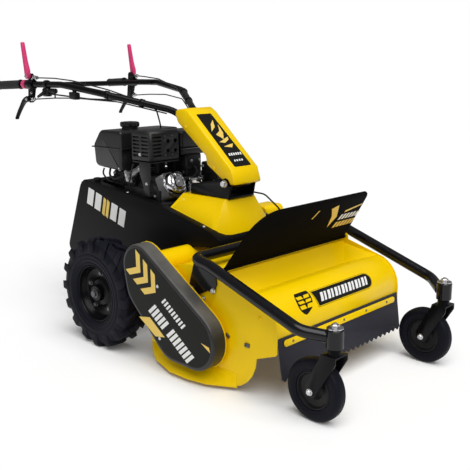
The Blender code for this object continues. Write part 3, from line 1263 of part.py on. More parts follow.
def fuel_tank():
    """Pressed fuel tank: a deep lower half, a shallow upper half and the seam lip between them."""
    corners = [(0.134, TANK_BOTTOM_Z, 0.008), (0.130, TANK_TOP_Z, 0.014), (0.262, TANK_TOP_Z, 0.030)]
    corners += [(0.308, 0.700, 0.020), (0.300, TANK_BOTTOM_Z + 0.010, 0.025)]
    tank = soften(prism(rounded(corners), -TANK_HALF_WIDTH, TANK_HALF_WIDTH), 0.012)
    lip = TANK_HALF_WIDTH + 0.008
    rim = [(-lip, 0.123, 0.014), (lip, 0.123, 0.014), (lip, 0.322, 0.030), (-lip, 0.322, 0.030)]
    fuse(tank, prism(rounded(rim), TANK_SEAM_Z - 0.002, TANK_SEAM_Z + 0.002, "Z"))
    node("fuel_tank", tank, black_paint)
    axis = pivot("fuel_cap_axis", (CAP_X, CAP_Y, TANK_TOP_Z))
    base = TANK_TOP_Z + GAP
    cap = [(base, 0.0), (base, CAP_RADIUS - 0.004), (base + 0.006, CAP_RADIUS - 0.004), (base + 0.006, CAP_RADIUS)]
    cap += [(base + 0.026, CAP_RADIUS), (base + 0.030, CAP_RADIUS - 0.004), (base + 0.030, 0.0)]
    node("fuel_cap", turned(cap, (CAP_X, CAP_Y, 0.0), 16, "Z"), black_plastic, axis.location, axis)


def shaft_cover():
    """Yellow cover over the far end of the cross shaft, on a short stub from the bevel gear."""
    left, right = TUB_HALF_WIDTH + 0.015, TUB_HALF_WIDTH + 0.115
    rear, front, low, high = SHAFT_Y + 0.047, SHAFT_Y - 0.053, SHAFT_Z + 0.055, SHAFT_Z + 0.130
    outline = rounded([(rear, low, 0.008), (rear, high, 0.020), (front, high, 0.020), (front, low, 0.008)])
    cover = soften(prism(outline, left, right), 0.004)
    ends = ((BEVEL_HALF_WIDTH + GAP, SHAFT_Y, SHAFT_Z), (right - 0.020, SHAFT_Y, SHAFT_Z))
    fuse(cover, rod(*ends, SHAFT_TUBE_RADIUS, 20))
    fuse(cover, block((left + 0.020, SHAFT_Y - 0.020, SHAFT_Z), (right - 0.020, SHAFT_Y + 0.020, low + 0.020)))
    node("shaft_cover", cover, yellow_paint)


def cables():
    """Throttle cable from its box to the carburettor, and the blade clutch's cable to the deck."""
    box = bar_spot(-1.0, THROTTLE_Y)
    start = (box.x, box.y - 0.0205, box.z - 0.036)
    route = [start, (-0.212, 0.230, 0.878), (-0.120, 0.085, 0.872), (-0.015, 0.075, 0.840), (0.030, 0.104, 0.770)]
    route += [(0.030, 0.104, 0.650), (0.035, 0.054, 0.640)]
    node("throttle_cable", pipe(bent(route, 0.060), THROTTLE_CABLE_RADIUS, 1), grip_rubber)
    foot = (TUB_NOSE_Y + DECK_TOP_REAR_Y) / 2.0 - 0.014
    route = [(CHEEK_X + CHEEK_THICKNESS + 0.005, -0.345, COWL_TOP_Z + 0.010), (0.115, -0.368, 0.540)]
    route += [(0.148, -0.405, 0.490), (0.155, foot, 0.450), (0.155, foot, DECK_TOP_Z + GAP)]
    node("clutch_cable", pipe(bent(route, 0.040), CLUTCH_CABLE_RADIUS, 1), grip_rubber)


def stand_on_origin():
    """Moves the machine along until the origin lies under the middle of its length."""
    bpy.context.view_layer.update()
    pieces = [piece for piece in machine.children_recursive if piece.type == "MESH"]
    reach = [(piece.matrix_world @ Vector(corner)).y for piece in pieces for corner in piece.bound_box]
    machine.location.y = -(min(reach) + max(reach)) / 2.0


drive_wheels()
casters()
wishbone()
deck_shell()
front_hood()
deck_sides()
rubber_curtain()
curtain_strip()
deflector()
rotor()
hammers()
belt_guard()
belt_drive()
shaft_tube()
transmission()
chassis()
tub()
cowl()
post()
steering = pivot("handlebar_hinge", (0.0, PIVOT_Y, PIVOT_Z))
column_cover(steering)
handlebar(steering)
grips(steering)
levers(steering)
throttle(steering)
crankcase()
cylinder()
fan_cover()
muffler()
air_filter()
fuel_tank()
shaft_cover()
cables()
stand_on_origin()
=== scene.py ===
import json
import math

import bmesh
import bpy
from mathutils import Matrix, Vector

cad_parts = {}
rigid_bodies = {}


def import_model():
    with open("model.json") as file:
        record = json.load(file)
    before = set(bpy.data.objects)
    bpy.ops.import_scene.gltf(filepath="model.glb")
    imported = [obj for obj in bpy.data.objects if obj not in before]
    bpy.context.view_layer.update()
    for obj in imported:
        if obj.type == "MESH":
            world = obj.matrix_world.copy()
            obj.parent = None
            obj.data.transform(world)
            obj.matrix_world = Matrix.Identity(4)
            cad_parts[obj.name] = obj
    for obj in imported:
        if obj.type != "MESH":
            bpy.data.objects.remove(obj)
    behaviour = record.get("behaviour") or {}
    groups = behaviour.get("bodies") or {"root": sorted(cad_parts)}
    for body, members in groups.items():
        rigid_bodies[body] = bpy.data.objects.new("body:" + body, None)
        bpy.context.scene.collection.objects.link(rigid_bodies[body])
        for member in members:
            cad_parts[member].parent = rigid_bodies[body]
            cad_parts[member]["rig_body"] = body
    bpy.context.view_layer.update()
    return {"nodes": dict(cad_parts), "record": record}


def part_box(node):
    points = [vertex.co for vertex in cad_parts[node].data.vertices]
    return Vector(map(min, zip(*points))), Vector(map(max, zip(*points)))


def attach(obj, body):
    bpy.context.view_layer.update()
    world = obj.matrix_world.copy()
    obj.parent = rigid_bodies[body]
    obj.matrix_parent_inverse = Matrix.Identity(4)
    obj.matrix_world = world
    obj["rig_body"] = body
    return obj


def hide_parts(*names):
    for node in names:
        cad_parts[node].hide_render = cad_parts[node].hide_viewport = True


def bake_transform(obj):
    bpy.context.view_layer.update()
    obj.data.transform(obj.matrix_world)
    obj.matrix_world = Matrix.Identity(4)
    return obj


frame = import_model()
nodes = frame["nodes"]

# The studio: a pale floor that keeps the mower's shadow, a white surround that lights it dimly from
# all round, one broad soft lamp over its left front corner, and the camera at the left front.
WHITE = (1.0, 1.0, 1.0, 1.0)
FLOOR = 9.0


def feed(node, inputs):
    """Sets a node's inputs: numbers and colours as they are, other nodes' outputs by a link."""
    for label, value in inputs.items():
        if isinstance(value, bpy.types.NodeSocket):
            node.id_data.links.new(value, node.inputs[label])
        else:
            node.inputs[label].default_value = value
    return node


def step(tree, kind, inputs=None, **settings):
    """Adds a node to a tree, with its settings and its inputs."""
    node = tree.nodes.new(kind)
    for key, value in settings.items():
        setattr(node, key, value)
    return feed(node, inputs or {})


def maths(tree, operation, *values, **settings):
    """The outcome of one calculation with numbers or other nodes' outputs."""
    return step(tree, "ShaderNodeMath", dict(enumerate(values)), operation=operation, **settings).outputs[0]


def placed(name, data):
    """An object in the scene that holds this data."""
    item = bpy.data.objects.new(name, data)
    bpy.context.scene.collection.objects.link(item)
    return item


pale = bpy.data.materials.new("pale_floor")
pale.use_nodes = True
seen = step(pale.node_tree, "ShaderNodeLightPath").outputs["Is Camera Ray"]
feed(pale.node_tree.nodes["Principled BSDF"], {
    "Base Color": (.97, .97, .97, 1.0), "Roughness": .9, "Specular IOR Level": 0.0, "Emission Color": WHITE,
    "Emission Strength": maths(pale.node_tree, "MULTIPLY", seen, .05)})
floor_mesh = bpy.data.meshes.new("floor")
floor_mesh.from_pydata([(-FLOOR, -FLOOR, 0), (FLOOR, -FLOOR, 0), (FLOOR, FLOOR, 0), (-FLOOR, FLOOR, 0)], [],
                       [(0, 1, 2, 3)])
floor_mesh.materials.append(pale)
placed("floor", floor_mesh)

world = bpy.data.worlds.new("white_surround")
world.use_nodes = True
seen = step(world.node_tree, "ShaderNodeLightPath").outputs["Is Camera Ray"]
level = step(world.node_tree, "ShaderNodeMapRange", {"Value": seen, "To Min": .2, "To Max": 1.0})
feed(world.node_tree.nodes["Background"], {"Color": WHITE, "Strength": level.outputs["Result"]})
bpy.context.scene.world = world

lamp = bpy.data.lights.new("key_lamp", "SUN")
lamp.energy = 2.9
lamp.angle = math.radians(58.0)
placed("key_lamp", lamp).rotation_euler = Vector((.22, .44, -.87)).to_track_quat("-Z", "Y").to_euler()

lens = bpy.data.cameras.new("camera")
lens.lens = 56.395
lens.sensor_width = 36.0
camera = placed("camera", lens)
azimuth, tilt, roll = (math.radians(angle) for angle in (-45.697, 90.0 - 12.8639, -.4914))
camera.matrix_world = (Matrix.Translation((-1.8531, -2.00468, .99183)) @ Matrix.Rotation(azimuth, 4, "Z")
                       @ Matrix.Rotation(tilt, 4, "X") @ Matrix.Rotation(roll, 4, "Z"))
bpy.context.scene.camera = camera

# The cutter deck: folded 3 mm sheet steel, its top bent down behind, the front hood rolled to a
# nose over the curtain, and two side plates that carry the rotor's bearings. Welded, then powder
# coated yellow.
SIDES = (("left", -1.0), ("right", 1.0))
DRIVE_AXLE_Y = sum(corner.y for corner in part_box("drive_tyre_left")) / 2.0
SHEET = .003
SQUARE = math.radians(40.0)
HALF_HOOD = .3197
HOOD_FRONT, NOSE, NOSE_Z = -.806, .1, .235


def sockets(tree, in_out, **kinds):
    """Names the inputs or outputs of a node group."""
    for label, kind in kinds.items():
        tree.interface.new_socket(label.replace("_", " "), in_out=in_out, socket_type="NodeSocket" + kind)


def noise(scale, detail):
    """A noise over the piece's own coordinates, for the grain."""
    where = step(grain, "ShaderNodeTexCoord").outputs["Object"]
    return step(grain, "ShaderNodeTexNoise", {"Vector": where, "Scale": scale, "Detail": detail}).outputs["Fac"]


# Upward faces grey by the Dust input: settled dust at small amounts, a painted highlight on the belt guard.
grain = bpy.data.node_groups.new("grain_dust_and_sheen", "ShaderNodeTree")
sockets(grain, "INPUT", Colour="Color", Roughness="Float", Grain_Size="Float", Grain_Depth="Float",
        Clouding="Float", Dust="Float")
sockets(grain, "OUTPUT", Colour="Color", Roughness="Float", Normal="Vector")
given = step(grain, "NodeGroupInput").outputs
fine, clouds = noise(given["Grain Size"], 3.0), noise(9.0, 5.0)
swing = maths(grain, "MULTIPLY", maths(grain, "SUBTRACT", clouds, .5), given["Clouding"])
gain = maths(grain, "MULTIPLY_ADD", swing, 4.0, 1.0)
tinted = step(grain, "ShaderNodeVectorMath", {0: given["Colour"], "Scale": gain}, operation="SCALE")
facing = step(grain, "ShaderNodeNewGeometry").outputs["Normal"]
upward = step(grain, "ShaderNodeSeparateXYZ", {"Vector": facing}).outputs["Z"]
ledge = step(grain, "ShaderNodeMapRange", {"Value": upward, "From Min": .2, "From Max": 1.0}).outputs[0]
settled_dust_and_sheen = maths(grain, "MULTIPLY", maths(grain, "MULTIPLY", ledge, clouds), given["Dust"])
dust_and_sheen_mixed = step(grain, "ShaderNodeMix", {"Factor": settled_dust_and_sheen, "A": tinted.outputs[0], "B": (.42, .4, .36, 1.0)},
             data_type="RGBA")
dulled = maths(grain, "ADD", settled_dust_and_sheen, maths(grain, "MULTIPLY_ADD", fine, .12, -.06))
rough = maths(grain, "ADD", given["Roughness"], dulled, use_clamp=True)
relief = step(grain, "ShaderNodeBump", {"Height": fine, "Distance": given["Grain Depth"]})
step(grain, "NodeGroupOutput", {"Colour": dust_and_sheen_mixed.outputs["Result"], "Roughness": rough,
                                "Normal": relief.outputs[0]})
slot_of_node = {row["node"]: row["material_slot"] for row in frame["record"]["subparts"]}


def finish(name, colour, roughness, metallic=0.0, coat=0.0, shine=.4, size=700.0, depth=.0001,
           clouding=.05, dust_and_sheen=.02):
    """A material: colour and roughness go through the grain, the rest to the shader."""
    material = bpy.data.materials.new(name)
    material.use_nodes = True
    made = step(material.node_tree, "ShaderNodeGroup", {
        "Colour": (*colour, 1.0), "Roughness": roughness, "Grain Size": size, "Grain Depth": depth,
        "Clouding": clouding, "Dust": dust_and_sheen}, node_tree=grain).outputs
    feed(material.node_tree.nodes["Principled BSDF"], {
        "Base Color": made["Colour"], "Roughness": made["Roughness"], "Normal": made["Normal"],
        "Metallic": metallic, "Specular IOR Level": shine, "Coat Weight": coat, "Coat Roughness": .08})
    return material


def dress(item, material, node=None, body="chassis", slot=None):
    """Gives a piece its material, and the node it stands for or else its body; its slot is not used."""
    item.data.materials.clear()
    item.data.materials.append(material)
    if node:
        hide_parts(node)
        body, slot = nodes[node]["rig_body"], slot_of_node[node]
    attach(item, body)


def shown(name, mesh):
    """A piece in the scene, smooth but for its sharp edges."""
    mesh.name = name
    mesh.shade_smooth()
    mesh.set_sharp_from_angle(angle=math.radians(38.0))
    return placed(name, mesh)


def plain_mesh(item):
    """What an object's modifier makes of it, as a plain mesh; the object goes."""
    graph = bpy.context.evaluated_depsgraph_get()
    mesh = bpy.data.meshes.new_from_object(item.evaluated_get(graph), depsgraph=graph)
    bpy.data.objects.remove(item, do_unlink=True)
    return mesh


def broken_edges(node, material, width=.0012, segments=2):
    """A CAD node, merged, its square edges rounded as folding or moulding leaves them."""
    bm = bmesh.new()
    bm.from_mesh(nodes[node].data)
    bmesh.ops.remove_doubles(bm, verts=bm.verts, dist=1e-5)
    bmesh.ops.dissolve_limit(bm, angle_limit=math.radians(1.0), verts=bm.verts, edges=bm.edges)
    mesh = bpy.data.meshes.new(node)
    bm.to_mesh(mesh)
    bm.free()
    copy = placed("copy", mesh)
    edge = copy.modifiers.new("edges", "BEVEL")
    edge.width = width
    edge.segments = segments
    edge.limit_method = "ANGLE"
    edge.angle_limit = SQUARE
    dress(shown(node + "_piece", plain_mesh(copy)), material, node)


def pushed(outline, start, end, axis="X", edge=0.0):
    """A flat outline pushed along an axis, its edges rounded: X takes (y, z), Y (x, z), Z (x, y)."""
    bm = bmesh.new()
    order = {"X": (2, 0, 1), "Y": (0, 2, 1), "Z": (0, 1, 2)}[axis]
    foot = [bm.verts.new([(u, v, start)[i] for i in order]) for u, v in outline]
    grown = bmesh.ops.extrude_face_region(bm, geom=[bm.faces.new(foot)])
    moved = [item for item in grown["geom"] if isinstance(item, bmesh.types.BMVert)]
    bmesh.ops.translate(bm, verts=moved, vec=[(0.0, 0.0, end - start)[i] for i in order])
    bmesh.ops.recalc_face_normals(bm, faces=bm.faces)
    if edge:
        square = [e for e in bm.edges if e.calc_face_angle(0.0) > SQUARE]
        bmesh.ops.bevel(bm, geom=square, offset=edge, segments=2, profile=.5, affect="EDGES",
                        clamp_overlap=True)
    return bm


def assembled(name, *shapes):
    """One object out of closed shapes drawn about the drive axle, moved to where the axle is."""
    whole = bmesh.new()
    for shape in shapes:
        bmesh.ops.remove_doubles(shape, verts=shape.verts, dist=1e-6)
        bmesh.ops.recalc_face_normals(shape, faces=shape.faces)
        mesh = bpy.data.meshes.new("shape")
        shape.to_mesh(mesh)
        shape.free()
        whole.from_mesh(mesh)
        bpy.data.meshes.remove(mesh)
    bmesh.ops.translate(whole, verts=whole.verts, vec=(0.0, DRIVE_AXLE_Y, 0.0))
    mesh = bpy.data.meshes.new(name)
    whole.to_mesh(mesh)
    whole.free()
    return shown(name, mesh)


def piece(name, material, *shapes, **where):
    """One dressed piece out of closed shapes drawn about the drive axle."""
    dress(assembled(name, *shapes), material, **where)


def arc(centre, radius, first, last, steps):
    """Points along an arc, angles in degrees from the first plane axis."""
    turns = [math.radians(first + (last - first) * k / steps) for k in range(steps + 1)]
    return [(centre[0] + radius * math.cos(a), centre[1] + radius * math.sin(a)) for a in turns]


def beside(points, distance, closed=False):
    """The points of a line or outline, each moved to its left by a distance."""
    moved = []
    for k, point in enumerate(points):
        here = Vector(point)
        before = here - Vector(points[k - 1])
        after = Vector(points[(k + 1) % len(points)]) - here
        if not closed and k == 0:
            before = after
        if not closed and k == len(points) - 1:
            after = before
        left = Vector((-before.y, before.x)).normalized()
        middle = (left + Vector((-after.y, after.x)).normalized()).normalized()
        moved.append(tuple(here + middle * distance / middle.dot(left)))
    return moved


yellow_enamel = finish("yellow_powder_coat", (.92, .612, 0.0), .34, coat=.1, shine=.14,
                       size=520.0, depth=.00012, clouding=.03, dust_and_sheen=.001)
broken_edges("deck_shell", yellow_enamel)
for side, _ in SIDES:
    broken_edges("deck_side_" + side, yellow_enamel, .001)
nose_line = arc((HOOD_FRONT + NOSE, NOSE_Z), NOSE, 98.0, 180.0, 24)
hood_line = [(-.574, .3667), (-.578, .357), (-.64, .306), *nose_line, (HOOD_FRONT, .186)]
hood = [pushed(hood_line + beside(hood_line, SHEET)[::-1], -HALF_HOOD, HALF_HOOD, edge=.0008)]
for _, sign in SIDES:
    end, foot = sign * HALF_HOOD, sign * .235
    gusset = bmesh.new()
    spots = [(end, -.578, .357), (end, -.64, .305), (end, *nose_line[0]), (foot, -.64, .306)]
    corners = [gusset.verts.new(spot) for spot in spots]
    for skip in range(4):
        gusset.faces.new(corners[:skip] + corners[skip + 1:])
    hood.append(gusset)
piece("front_hood_piece", yellow_enamel, *hood, node="front_hood")

# The rubber curtain in front of the hammers stops what they throw. It hangs from the hood's lip
# under a steel strip with five screws. Behind it come the bolts and latches of the side plates.
LEFT, RIGHT, FRONT, UP = (-1, 0, 0), (1, 0, 0), (0, -1, 0), (0, 0, 1)
PLATE_X = .3242


def grown(name, tree, mesh, **values):
    """What a geometry tree makes of a mesh with these inputs, kept as a plain mesh."""
    seed = placed("seed", mesh)
    modifier = seed.modifiers.new("tree", "NODES")
    modifier.node_group = tree
    for item in tree.interface.items_tree:
        if item.item_type == "SOCKET" and item.in_out == "INPUT" and item.name in values:
            modifier[item.identifier] = values[item.name]
    return shown(name, plain_mesh(seed))


def realized(tree, copies, material):
    """Ends a geometry tree: its copies are made real and take the material."""
    real = step(tree, "GeometryNodeRealizeInstances", {"Geometry": copies.outputs[0]})
    coated = step(tree, "GeometryNodeSetMaterial", {"Geometry": real.outputs[0], "Material": material})
    step(tree, "NodeGroupOutput", {0: coated.outputs[0]})


def lathed(profile, centre=(0.0, 0.0, 0.0), steps=64, axis="X"):
    """A turned shape from a closed profile of (distance along the axis, radius) about a centre."""
    bm = bmesh.new()
    rings = []
    for along, radius in profile:
        ring = []
        for k in range(steps if radius > 0.0 else 1):
            angle = math.tau * k / steps
            u, v = radius * math.cos(angle), radius * math.sin(angle)
            place = {"X": (along, u, v), "Y": (u, along, v), "Z": (u, v, along)}[axis]
            ring.append(bm.verts.new(Vector(place) + Vector(centre)))
        rings.append(ring)
    for here, there in zip(rings, rings[1:] + rings[:1]):
        for k in range(steps):
            corners = [here[k % len(here)], here[(k + 1) % len(here)]]
            corners += [there[(k + 1) % len(there)], there[k % len(there)]]
            corners = list(dict.fromkeys(corners))
            if len(corners) > 2:
                bm.faces.new(corners)
    return bm


def rod(profile, *placing, **more):
    """A turned shape without a bore: flat ends close its profile to the axis."""
    return lathed([(profile[0][0], 0.0), *profile, (profile[-1][0], 0.0)], *placing, **more)


def template(name, *shapes):
    """A small shape kept out of the picture, for the trees to repeat."""
    item = assembled(name, *shapes)
    item.data.transform(Matrix.Translation((0.0, -DRIVE_AXLE_Y, 0.0)))
    item.hide_render = True
    return item


fixings = bpy.data.node_groups.new("fixings_on_points", "GeometryNodeTree")
sockets(fixings, "INPUT", Geometry="Geometry", Fixing="Object", Size="Float", Finish="Material")
sockets(fixings, "OUTPUT", Geometry="Geometry")
given = step(fixings, "NodeGroupInput").outputs
head = step(fixings, "GeometryNodeObjectInfo", {"Object": given["Fixing"]}, transform_space="ORIGINAL")
out_of_face = step(fixings, "GeometryNodeInputNamedAttribute", {"Name": "aim"}, data_type="FLOAT_VECTOR")
aimed = step(fixings, "FunctionNodeAlignRotationToVector",
             {"Vector": next(s for s in out_of_face.outputs if s.enabled)}, axis="Z")
realized(fixings, step(fixings, "GeometryNodeInstanceOnPoints", {
    "Points": given["Geometry"], "Instance": head.outputs["Geometry"], "Rotation": aimed.outputs[0],
    "Scale": given["Size"]}), given["Finish"])


def fix(name, item, size, material, *groups, **where):
    """Sets one kind of fixing on the mower. Each group is a way to face and the places that face it."""
    spots = [(place, aim) for aim, *places in groups for place in places]
    mesh = bpy.data.meshes.new(name)
    mesh.from_pydata([Vector(place) + Vector((0.0, DRIVE_AXLE_Y, 0.0)) for place, _ in spots], [], [])
    aims = mesh.attributes.new("aim", "FLOAT_VECTOR", "POINT")
    aims.data.foreach_set("vector", [number for _, aim in spots for number in aim])
    dress(grown(name, fixings, mesh, Fixing=item, Size=size, Finish=material), material, **where)


zinc = finish("zinc_plate", (.62, .62, .64), .3, metallic=1.0, size=900.0, clouding=.1)
dark_screw_steel = finish("blackened_screws", (.12, .12, .13), .35, metallic=.8)
hex_bolt = template("hex_bolt", rod([(-.2, 1.0), (.1, 1.0), (.2, .82)], steps=24, axis="Z"),
                    rod([(.1, .8), (.62, .8), (.74, .68)], steps=6, axis="Z"))
round_screw = template("round_screw", rod([(-.2, 1.0), (.18, .98), (.4, .84), (.52, .55), (.54, .36),
                                           (.25, .32)], steps=24, axis="Z"))
curtain_rubber = finish("curtain_rubber", (.032, .032, .042), .64, shine=.12, size=260.0, depth=.0004,
                        clouding=.12, dust_and_sheen=.05)
broken_edges("rubber_curtain", curtain_rubber, .0006, 1)
broken_edges("curtain_strip", yellow_enamel, .0008)
fix("strip_screws", round_screw, .0052, dark_screw_steel,
    ((0, -.99, .14), *[(x, -.8144, .196) for x in (-.256, -.128, -.001, .1225, .246)]))
catch = [(-.62, .178), (-.607, .188), (-.592, .18), (-.597, .171), (-.607, .177), (-.615, .17)]
latch = [(-.703, .163), (-.703, .175), (-.684, .175), (-.684, .163)]
for side, aim in (("left", LEFT), ("right", RIGHT)):
    near, far = PLATE_X * aim[0], (PLATE_X + .005) * aim[0]
    fix("side_bolts_" + side, hex_bolt, .0085, zinc,
        (aim, (near, -.504, .276), (near, -.33, .25), (near, -.33, .12)))
    piece("side_catches_" + side, dark_screw_steel,
          *[pushed(outline, near, far, edge=.0008) for outline in (catch, latch)])
    fix("side_plug_" + side, round_screw, .006, yellow_enamel, (aim, (near, -.744, .268)))

# The deflector: a flap of black sheet steel over the hammers, its top corners rounded, hung on a rod
# along its foot. Plain cream slashes and white slanted bars are printed on its front.
FLAP_HINGE = (0.0, -.58, .381)
FLAP_LEAN = 34.0
black_enamel = finish("black_powder_coat", (.0032, .0032, .0042), .28, coat=.03, shine=.14,
                      size=500.0, clouding=.1, dust_and_sheen=.004)
flap_enamel = finish("black_textured_coat", (.0035, .0035, .004), .7, shine=.02, size=420.0, depth=.0003,
                     clouding=.1, dust_and_sheen=.004)
cream_print = finish("cream_print", (.86, .6, .12), .45, size=900.0, clouding=.06)
white_print = finish("white_print", (.84, .84, .82), .45, size=900.0, clouding=.04)


def rounded(corners, radius=0.0, steps=8):
    """An outline whose corners become arcs, of one radius or of the third value that a corner has."""
    outline = []
    for k, (u, v, *own) in enumerate(corners):
        here, wanted = Vector((u, v)), own[0] if own else radius
        if wanted <= 0.0:
            outline.append((u, v))
            continue
        before = Vector(corners[k - 1][:2]) - here
        after = Vector(corners[(k + 1) % len(corners)][:2]) - here
        half = before.angle(after) / 2.0
        reach = min(wanted / math.tan(half), .49 * before.length, .49 * after.length)
        start, end = here + before.normalized() * reach, here + after.normalized() * reach
        heart = here + (before.normalized() + after.normalized()).normalized() * reach / math.cos(half)
        sweep = (start - heart).angle_signed(end - heart)
        for n in range(steps + 1):
            spoke = start - heart
            spoke.rotate(Matrix.Rotation(-sweep * n / steps, 2))
            outline.append(tuple(heart + spoke))
    return outline


def tilted(shape, degrees, centre=(0.0, 0.0, 0.0)):
    """Turns a shape about a line through a point, from side to side of the mower."""
    bmesh.ops.rotate(shape, verts=shape.verts, cent=centre,
                     matrix=Matrix.Rotation(math.radians(degrees), 3, "X"))
    return shape


def on_flap(outline, near=.0024, far=.0019):
    """A sheet on the leaning flap, drawn in (x, distance above the hinge); printed ones lie in front."""
    _, y, z = FLAP_HINGE
    edge = 0.0 if near > .002 else .0009
    sheet = pushed([(x, z + up) for x, up in outline], y - near, y - far, "Y", edge)
    return tilted(sheet, FLAP_LEAN, FLAP_HINGE)


def slanted(count, first, pitch, wide, lean, low, high):
    """The outlines of a row of slanted bars between two heights."""
    starts = [first + pitch * k for k in range(count)]
    return [[(x, low), (x + wide, low), (x + wide + lean, high), (x + lean, high)] for x in starts]


plate = rounded([(-.312, 0.0), (.312, 0.0), (.284, .228, .04), (-.284, .228, .105)], steps=24)
flap = [on_flap(plate, .002, -.002)]
for half, radius in ((.312, .006), (.327, .004)):
    flap.append(tilted(rod([(-half, radius), (half, radius)], FLAP_HINGE, 32), FLAP_LEAN, FLAP_HINGE))
piece("deflector_piece", flap_enamel, *flap, node="deflector")
slashes = [[(.146, .084), (.132, .138), (.104, .176), (.136, .188), (.166, .13)],
           [(.2, .152), (.286, .17), (.288, .164), (.2, .142)],
           [(.014, .148), (.02, .148), (.037, .181), (.03, .181)],
           *slanted(6, .18, .02, .014, .006, .074, .099)]
stripes = slanted(6, .186, .019, .012, .006, .11, .134)
piece("deflector_slashes", cream_print, *map(on_flap, slashes), body="deflector")
piece("deflector_stripes", white_print, *map(on_flap, stripes), body="deflector")

# Drive tyres: agricultural rubber, a ringed carcass with sixteen curved lugs on each half, the
# halves staggered by half a lug. Moulded in one piece and mounted on the rim; dust settles in them.
WHEEL_X, WHEEL_Z = .3475, .2
LUGS = 16
rounds = bpy.data.node_groups.new("copies_in_a_row_or_round", "GeometryNodeTree")
sockets(rounds, "INPUT", Geometry="Geometry", Item="Object", Count="Int", Step="Vector", Turn="Vector",
        Centre="Vector", Finish="Material")
sockets(rounds, "OUTPUT", Geometry="Geometry")
given = step(rounds, "NodeGroupInput").outputs
number = step(rounds, "GeometryNodeInputIndex").outputs[0]
shift, spin = [step(rounds, "ShaderNodeVectorMath", {0: given[label], "Scale": number}, operation="SCALE")
               for label in ("Step", "Turn")]
place = step(rounds, "ShaderNodeVectorMath", {0: shift.outputs[0], 1: given["Centre"]}, operation="ADD")
dots = step(rounds, "GeometryNodePoints", {"Count": given["Count"], "Position": place.outputs[0]})
item = step(rounds, "GeometryNodeObjectInfo", {"Object": given["Item"]}, transform_space="ORIGINAL")
realized(rounds, step(rounds, "GeometryNodeInstanceOnPoints", {
    "Points": dots.outputs[0], "Instance": item.outputs["Geometry"],
    "Rotation": spin.outputs[0]}), given["Finish"])


def repeated(name, item, count, centre, material, row=(0, 0, 0), turn=(0, 0, 0), **where):
    """Copies of a small shape in a row or round an axis, as one piece."""
    heart = (centre[0], centre[1] + DRIVE_AXLE_Y, centre[2])
    copies = grown(name, rounds, bpy.data.meshes.new(name), Item=item, Count=count, Step=row, Turn=turn,
                   Centre=heart, Finish=material)
    dress(copies, material, **where)


def skinned(rings):
    """A closed shape through rings of equally many points."""
    bm = bmesh.new()
    loops = [[bm.verts.new(point) for point in ring] for ring in rings]
    for here, there in zip(loops, loops[1:]):
        for k in range(len(here)):
            n = (k + 1) % len(here)
            bm.faces.new([here[k], here[n], there[n], there[k]])
    bm.faces.new(loops[0])
    bm.faces.new(loops[-1])
    return bm


def mirrored(half):
    """The other half of a profile, from its middle back out."""
    return [(-along, radius) for along, radius in half[::-1]]


tyre_rubber = finish("tyre_rubber", (.0045, .005, .0095), .55, shine=.12, size=150.0,
                     depth=.0007, clouding=.15, dust_and_sheen=.01)
carcass = [(.041, .1043), (.047, .1075), (.0495, .113), (.048, .116), (.05, .119), (.052, .128), (.0505, .13),
           (.0519, .1325), (.0521, .145), (.0508, .147), (.052, .1495), (.05, .164), (.0465, .177),
           (.04, .1855), (.025, .188), (0.0, .189)]
carcass += mirrored(carcass[:-1])
lugs = []
for sign, lead_by in ((-1.0, 0.0), (1.0, 180.0 / LUGS)):
    rings = []
    for across, low, high, lead, wide in ((.0015, .183, .2, .56, .34), (.018, .183, .2, .36, .36),
                                          (.036, .18, .1985, .16, .4), (.0475, .172, .196, .02, .44),
                                          (.0512, .16, .186, -.01, .46), (.052, .152, .17, -.02, .46)):
        ring = []
        for share, radius in ((-.62, low), (-.42, high), (.42, high), (.62, low)):
            angle = math.tau / LUGS * (lead + share * wide)
            ring.append((sign * across, radius * math.sin(angle), radius * math.cos(angle)))
        rings.append(ring)
    lug = skinned(rings)
    bmesh.ops.recalc_face_normals(lug, faces=lug.faces)
    edges = [e for e in lug.edges if e.calc_face_angle(0.0) > math.radians(30.0)]
    bmesh.ops.bevel(lug, geom=edges, offset=.0022, segments=2, profile=.6, affect="EDGES", clamp_overlap=True)
    lugs.append(template("lug", tilted(lug, lead_by)))
for side, sign in SIDES:
    heart = (sign * WHEEL_X, 0.0, WHEEL_Z)
    piece("drive_tyre_%s_carcass" % side, tyre_rubber, lathed(carcass, heart, 128), node="drive_tyre_" + side)
    for half, lug in zip(("inner", "outer"), lugs):
        repeated("drive_tyre_%s_%s_lugs" % (side, half), lug, LUGS, heart, tyre_rubber,
                 turn=(math.tau / LUGS, 0.0, 0.0), body="drive_wheel_" + side)

# Drive rims: two pressed steel dishes with a rolled lip, black, held to the hub by five bolts; a
# nut and washer close the axle's end. Same pressing on both sides.
def on_ring(heart, radius, turn):
    """A point of a circle that faces sideways, at an angle in radians from its rearmost point."""
    return heart[0], heart[1] + radius * math.cos(turn), heart[2] + radius * math.sin(turn)


dish = [(-.042, .1037), (.04, .1037), (.0425, .1025), (.043, .1), (.0415, .0985), (.038, .0978), (.03, .0965),
        (.024, .0925), (.016, .09), (.012, .0875), (.0105, .084), (.0105, .057), (.0125, .0535), (.018, .048),
        (.02, .0445), (.02, .032), (.0215, .03), (.038, .0285), (.04, .0265), (.04, 0.0), (-.085, 0.0),
        (-.085, .03), (.004, .03), (.004, .082), (-.042, .0977)]
for side, sign in SIDES:
    heart, wheel = (sign * WHEEL_X, 0.0, WHEEL_Z), "drive_wheel_" + side
    face, end = (sign * (WHEEL_X + .0105), 0.0, WHEEL_Z), (sign * (WHEEL_X + .04), 0.0, WHEEL_Z)
    piece("drive_rim_%s_dish" % side, black_enamel,
          lathed([(sign * along, radius) for along, radius in dish], heart, 96), node="drive_rim_" + side)
    fix("rim_bolts_" + side, hex_bolt, .0105, dark_screw_steel,
        ((sign, 0, 0), *[on_ring(face, .07, math.radians(18.0 + 72.0 * k)) for k in range(5)]), body=wheel)
    fix("axle_nut_" + side, hex_bolt, .0165, dark_screw_steel, ((sign, 0, 0), end), body=wheel)

